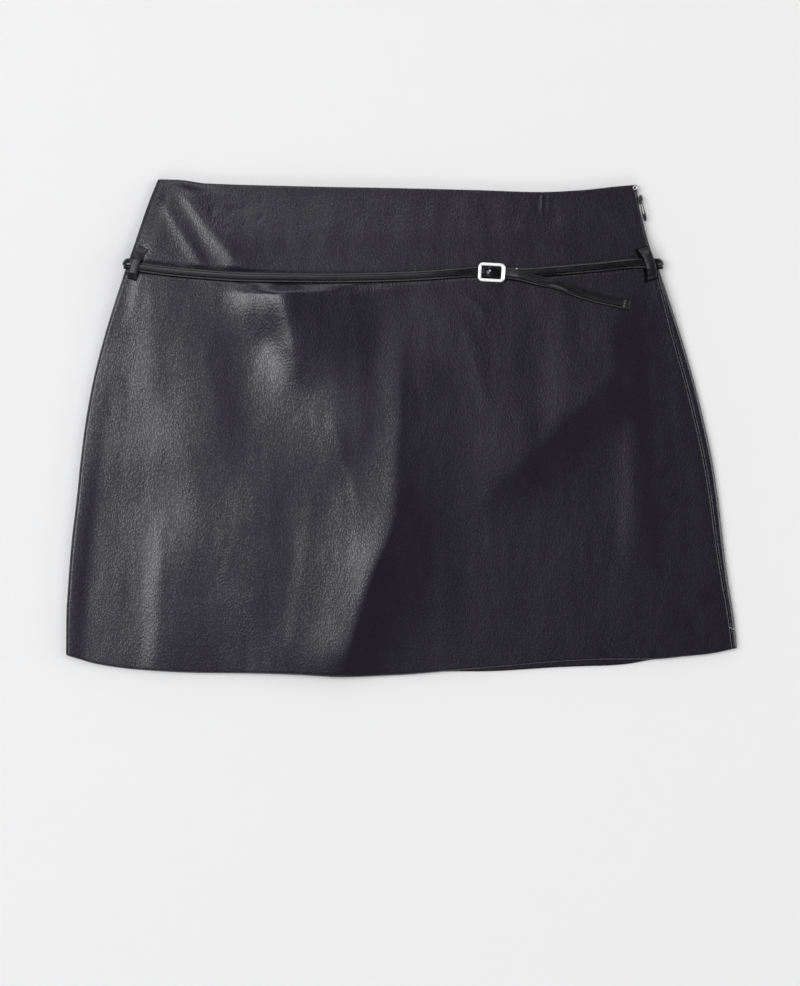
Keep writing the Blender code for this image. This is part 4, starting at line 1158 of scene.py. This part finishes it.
# %% [markdown]
# ## The buckle
#
# The buckle is cast: a softly squared ring, a little wider on the side of the tail, with
# a bar across its middle that is wrapped in the belt's leather. A superellipse, between a
# circle and a square, makes the ring's section. It is carried round between an outer and
# an inner outline, so that the sides can differ.

# %% Buckle
BUCKLE_TURN, BUCKLE_TILT = -3.5, -5.2       # in degrees, about z and about y
BUCKLE_WIDE, BUCKLE_TALL, BUCKLE_CORNER = 20.6, 14.4, 3.4
BUCKLE_THICK, BUCKLE_HEIGHT = 1.8, 3.85
LEFT_BAR, RIGHT_BAR, TOP_BAR, HOLE_CORNER = 2.5, 3.0, 2.4, 1.3
MIDDLE_BAR_X, MIDDLE_BAR_R, MIDDLE_BAR_LOW = -1.4, 0.7, 1.0
GROOVE_DEPTH, GROOVE_FROM_X = 0.22, 5.5     # the prong's groove in the right bar


def power(values, exponent):
    """Signed power: keeps the sign and raises the size."""
    return np.sign(values) * np.abs(values) ** exponent


def between_outlines(outer, inner, thick, around=14, powers=(0.8, 0.7), groove=0.0):
    """A closed ring between two outlines. Its section is a superellipse: the cosine and the
    sine of the angle, each to its own power. The groove is sunk along its upper face."""
    angles = full_turn(around)
    across, upwards = power(np.cos(angles), powers[0]), power(np.sin(angles), powers[1])
    middle, half = (outer + inner)[:, :, None] / 2, (outer - inner)[:, :, None] / 2
    flat = middle + across * half
    sunk = groove * np.exp(-((across - 0.05) / 0.16) ** 2) * (upwards > 0)
    return tube(points_from(flat[:, 0], flat[:, 1], upwards * thick / 2 - sunk), closed=True)


def squared_loop(wide, tall, corner):
    """A closed outline with round corners, and with added points between its points."""
    loop = rounded_rectangle(wide, tall, corner, 9)
    t = (np.arange(3) / 3)[None, :, None]
    return (loop[:, None, :] * (1 - t) + np.roll(loop, -1, axis=0)[:, None, :] * t).reshape(-1, 2)


def turned(shape, turn, tilt, place):
    """A shape turned about z, after a tilt about y, and moved to its place."""
    a, b = math.radians(turn), math.radians(tilt)
    tilted = np.array(((math.cos(b), 0, math.sin(b)), (0, 1, 0), (-math.sin(b), 0, math.cos(b))))
    spun = np.array(((math.cos(a), -math.sin(a), 0), (math.sin(a), math.cos(a), 0), (0, 0, 1)))
    return (shape[0] @ (spun @ tilted).T + np.array(place), *shape[1:])


outline = squared_loop(BUCKLE_WIDE, BUCKLE_TALL, BUCKLE_CORNER)
hole = squared_loop(BUCKLE_WIDE - LEFT_BAR - RIGHT_BAR, BUCKLE_TALL - 2 * TOP_BAR, HOLE_CORNER)
hole = hole + np.array(((LEFT_BAR - RIGHT_BAR) / 2, 0.0))
groove = GROOVE_DEPTH * smooth_step(((outline + hole)[:, :1] / 2 - GROOVE_FROM_X) / 2.0)
ring = between_outlines(outline, hole, BUCKLE_THICK, 28, (0.75, 0.8), groove)
bar_y = np.linspace(-1, 1, 9)[:, None] * (BUCKLE_TALL - TOP_BAR) / 2
angles = full_turn(14)
bar = tube(points_from(MIDDLE_BAR_X + MIDDLE_BAR_R * np.cos(angles), bar_y,
                       MIDDLE_BAR_R * np.sin(angles) - MIDDLE_BAR_LOW))
buckle_place = (BUCKLE_X, BUCKLE_Y, float(front_z(BUCKLE_X, BUCKLE_Y)) + BUCKLE_HEIGHT)
for name, shape, look, slot, solids in (
        ("buckle_cast", ring, satin_silver, "satin_silver", ["buckle_frame"]),
        ("buckle_bar_wrap", bar, belt_leather, "belt_leather", ())):
    add_piece(name, turned(shape, BUCKLE_TURN, BUCKLE_TILT, buckle_place), look,
              instead_of=solids, sharp=70)

# %% [markdown]
# The prong, the rivet and the hook are single small forms, so the solid model's own
# pieces stay, and only get the same satin finish.

# %% Prong, rivet and hook
for node in ("buckle_prong", "belt_rivet", "waist_hook"):
    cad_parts[node].data.materials.clear()
    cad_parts[node].data.materials.append(satin_silver)
    print("dressed:", node)

# %% [markdown]
# ## The zip
#
# The zip sits in the right side seam, hidden by the front's edge. Its woven tape carries
# a coil of small teeth, and its slider stands just outside the edge at the waist. The
# pull hangs on the slider's pin and swings round it, so it rides on its own body.

# %% Zip tape and coil
ZIP_TOP_Y, ZIP_BOTTOM_Y = 181.5, 60.0
ZIP_TAPE_IN, ZIP_TAPE_OUT, ZIP_TAPE_THICK = 7.5, 2.5, 0.8
TOOTH_PITCH = 1.25


def under_front(y):
    """Height just under the front's wall at the zip."""
    return STACK + lift(y, *FRONT_RISE) - LEATHER - GAP


tape_y = np.linspace(ZIP_BOTTOM_Y, ZIP_TOP_Y, 70)[:, None]
tape_x = right_edge(tape_y) - np.linspace(ZIP_TAPE_IN, ZIP_TAPE_OUT, 9)
tape_z = under_front(tape_y) - 0.05
add_piece("zip_tape_woven", wall_between(tape_x, tape_y, tape_z, tape_z - ZIP_TAPE_THICK),
          tape_weave, instead_of=["zip_tape"])

tooth_y = np.arange(ZIP_BOTTOM_Y + 4, ZIP_TOP_Y - 12, TOOTH_PITCH)
tooth_x = right_edge(tooth_y) - table(SIDE_EDGES, 3, tooth_y)
teeth = points_from(tooth_x, tooth_y, under_front(tooth_y) + 0.02)
add_piece("zip_coil", copies(capsule(1.6, 0.42, 0.24), teeth, (1, 0, 0), UP), black_enamel)

# %% [markdown]
# The slider's body is a rounded block: a box whose corners are drawn in by a
# superellipse, with a groove all round where the zip runs through. Its pin and the pin's
# cap are turned forms: a profile of radius and height, swept round an axis.

# %% Slider
SLIDER_Y, SLIDER_SIZE, SLIDER_OUT, SLIDER_TOP_Z = 174.0, (2.0, 7.0, 3.8), 0.8, 4.6
SLIDER_GROOVE = 0.16
PIN_OUT, PIN_R, PIN_CAP_R = 1.6, 0.55, 1.15
CAP_PROFILE = ((0.8, 0), (1, 0.15), (1, 0.3), (0.8, 0.5), (0.35, 0.6))     # share of radius, height
PULL_Z, PULL_THICK, PULL_LONG, PULL_ANGLE = 5.0, 1.0, 17.2, 12.5
edge_x = float(right_edge(SLIDER_Y))


def lathe(profile, place):
    """A profile of (radius, height) swept round the z axis."""
    radius, height = np.array(profile, float).T[:, :, None]
    angles = full_turn(28)
    return tube(points_from(radius * np.cos(angles), radius * np.sin(angles), height) + np.array(place))


def rounded_block(size, place, groove):
    """A block with round corners: at each height h a superellipse, smaller near both faces
    and drawn in by groove at the middle."""
    h = np.sin(np.linspace(-math.pi / 2, math.pi / 2, 25))[:, None]
    shrink = np.where(np.abs(h) > 0.999, 0.6, (1 - np.abs(h) ** 5) ** 0.2 * 0.25 + 0.75)
    shrink = shrink * (1 - groove * np.exp(-(h / 0.16) ** 2))
    angles = full_turn(40)
    return tube(points_from(power(np.cos(angles), 0.5) * size[0] / 2 * shrink,
                            power(np.sin(angles), 0.6) * size[1] / 2 * shrink,
                            h * size[2] / 2) + np.array(place))


block_place = (edge_x + SLIDER_OUT + SLIDER_SIZE[0] / 2, SLIDER_Y, SLIDER_TOP_Z - SLIDER_SIZE[2] / 2)
pin_place = (edge_x + PIN_OUT, SLIDER_Y, 0)
cap_z = PULL_Z + PULL_THICK + GAP
slider = together((rounded_block(SLIDER_SIZE, block_place, SLIDER_GROOVE),
                   lathe(((PIN_R, SLIDER_TOP_Z - 1.0), (PIN_R, cap_z + 0.1)), pin_place),
                   lathe([(PIN_CAP_R * share, cap_z + up) for share, up in CAP_PROFILE], pin_place)))
add_piece("slider_body", slider, black_enamel, instead_of=["zip_slider"])

# %% [markdown]
# The pull is a slim drop with a long slot: an outer outline that narrows at the neck and
# swells at the tail, and an inner outline for the slot, joined by a round section as the
# buckle is. A smaller ring at its top is the eye for the pin.

# %% Pull
def drop_outline(top, bottom, top_r, bottom_r):
    """A closed outline from top to bottom, seen from above: its half width is blended from
    one radius to the other along its length."""
    t = full_turn(40)
    s = (1 - np.cos(t)) / 2
    radius = top_r + (bottom_r - top_r) * smooth_step(s)
    return np.column_stack((radius * power(np.sin(t), 0.55), top + (bottom - top) * s))


circle = np.column_stack((np.cos(full_turn(32)), np.sin(full_turn(32))))
slotted = between_outlines(drop_outline(-1.2, -PULL_LONG, 1.05, 1.7),
                           drop_outline(-2.6, -11.5, 0.42, 0.62), PULL_THICK)
eye = between_outlines(circle * 1.8, circle * 0.95, PULL_THICK * 0.96)
pull_place = (edge_x + PIN_OUT, SLIDER_Y, PULL_Z + PULL_THICK / 2)
add_piece("pull_tab", turned(together((slotted, eye)), PULL_ANGLE, 0.0, pull_place), black_enamel,
          body="pull", instead_of=["zip_pull"])

# %% [markdown]
# ## Small sewing
#
# Three stitches hold the hook's eye at the waist, and a short pale tack of two stitches
# closes the end of the right seam near the hem.

# %% Hook stitches and seam tack
HOOK_X, HOOK_Y, HOOK_RING, HOOK_STITCH_UP = 177.4, 182.6, 1.3, 1.0
TACK_Y, TACK_UP = -152.4, 0.12
hook_out = points_from((-1.3, -0.9, -1.0), (-0.2, -1.1, 0.9), 0.0)
hook_z = float(front_z(HOOK_X - HOOK_RING, HOOK_Y)) + HOOK_STITCH_UP
add_piece("hook_stitches", copies(capsule(1.5, 0.2, 0.22), hook_out + (HOOK_X, HOOK_Y, hook_z),
                                  unit(hook_out), UP), black_thread)

tack_x = float(right_edge(TACK_Y)) - float(table(SIDE_EDGES, 3, TACK_Y))
tack_at = points_from((tack_x - 0.1, tack_x + 1.9), (TACK_Y + 0.6, TACK_Y - 0.5), STACK + TACK_UP)
tack_along = unit(np.array(((0.94, -0.34, 0.0), (0.8, 0.3, -0.2))))
add_piece("seam_tack", copies(capsule(2.6, 0.22, 0.22), tack_at, tack_along, UP),
          pale_thread)

# %% [markdown]
# ## What was cut
#
# The front and the back have 20 mm turned up at the hem and 10 mm turned in at the waist
# and at each seam.

# %% [markdown]
# ## Floor, light and camera
#
# The garment lies on a plain pale floor. Black leather shows only what it reflects, so
# the light does the modelling. A large soft box on the left, bright in its outer part and
# weak in its inner part, slides its reflection along every slope that faces it. A weak
# sheet and a strip beyond the waist give the waist and the belt their gloss, two boxes
# light the edges above the waist and below the hem, and a low one fills in from the
# right. The surround is bright at the horizon and dim overhead.

# %% Floor
FLOOR_HALF, FLOOR_Z = 9000.0, -0.06
floor_look = new_look("pale floor", (0.955, 0.948, 0.924), 0.9)
feed_colours(floor_look, noise(floor_look, place_mm(floor_look), 40.0),
             (0.951, 0.944, 0.920), (0.959, 0.952, 0.928))
corners = points_from((-FLOOR_HALF, FLOOR_HALF, FLOOR_HALF, -FLOOR_HALF),
                      (-FLOOR_HALF, -FLOOR_HALF, FLOOR_HALF, FLOOR_HALF), FLOOR_Z)
floor_mesh = bpy.data.meshes.new("floor")
floor_mesh.from_pydata((corners * MM).tolist(), [], [(0, 1, 2, 3)])
floor_mesh.materials.append(floor_look)
floor = add_object("floor", floor_mesh)
print("floor:", 2 * FLOOR_HALF * MM, "m square")

# %% Light
WHITE, COOL, VIOLET = (1, 1, 1), (0.97, 0.985, 1.03), (0.98, 0.98, 1.04)
LAMPS = (
    # name, place in m, width and height in m, brightness, colour; each looks at the middle
    ("key on the left", (-2.05, 0.30, 3.00), 1.10, 2.6, 6.6, COOL),
    ("weaker inner part of the key", (-1.10, 0.10, 3.30), 1.10, 2.8, 0.75, COOL),
    ("weak sheet beyond the waist", (-0.65, 0.95, 3.40), 1.50, 1.3, 0.35, WHITE),
    ("strip for the belt's gloss", (-0.45, 1.45, 3.00), 0.85, 1.0, 2.4, VIOLET),
    ("light above the waist", (-0.55, 2.8, 1.8), 1.9, 1.2, 2.2, VIOLET),
    ("light below the hem", (-0.35, -2.8, 1.8), 2.1, 1.2, 3.0, VIOLET),
    ("low fill on the right", (3.0, 0.2, 1.5), 1.6, 3.0, 3.5, WHITE),
)
HORIZON, OVERHEAD = (0.10, 0.90), (0.36, 0.07)      # how far up, and how bright

for name, place, wide, tall, brightness, colour in LAMPS:
    data = bpy.data.lights.new(name, "AREA")
    data.shape = "RECTANGLE"
    data.size, data.size_y = wide, tall
    data.energy = brightness * math.pi * wide * tall
    data.color = colour
    lamp = add_object(name, data)
    lamp.location = place
    lamp.rotation_euler = (-Vector(place)).to_track_quat("-Z", "Y").to_euler()

world = bpy.data.worlds.new("studio")
bpy.context.scene.world = world
world.use_nodes = True
direction = add_node(world, "ShaderNodeTexCoord").outputs["Generated"]
upwards = add_node(world, "ShaderNodeSeparateXYZ", {0: direction}).outputs["Z"]
strength = ramp(world, upwards, HORIZON[0], OVERHEAD[0], HORIZON[1], OVERHEAD[1])
background = world.node_tree.nodes["Background"]
world.node_tree.links.new(strength, background.inputs["Strength"])
background.inputs["Color"].default_value = (1.0, 1.0, 1.0, 1.0)
bpy.context.scene.view_settings.view_transform = "Standard"
print("lamps:", [name for name, *_ in LAMPS])

# %% [markdown]
# The camera looks straight down. Its distance follows from the field that it has to
# cover: 986 pixels of 0.76 mm from top to bottom, on a 36 mm sensor behind a long lens.

# %% Camera
PIXEL_MM, PICTURE_TALL = 0.76, 986
VIEW_X, VIEW_Y, VIEW_Z = -1.14, -49.4, 6.0       # the middle of the picture, on the cloth
LENS, SENSOR = 100.0, 36.0
camera_data = bpy.data.cameras.new("camera")
camera_data.lens, camera_data.sensor_width = LENS, SENSOR
camera = add_object("camera", camera_data)
distance = PICTURE_TALL * PIXEL_MM * LENS / SENSOR
camera.location = (VIEW_X * MM, VIEW_Y * MM, (VIEW_Z + distance) * MM)
bpy.context.scene.camera = camera
print("camera", round(distance), "mm above the cloth")
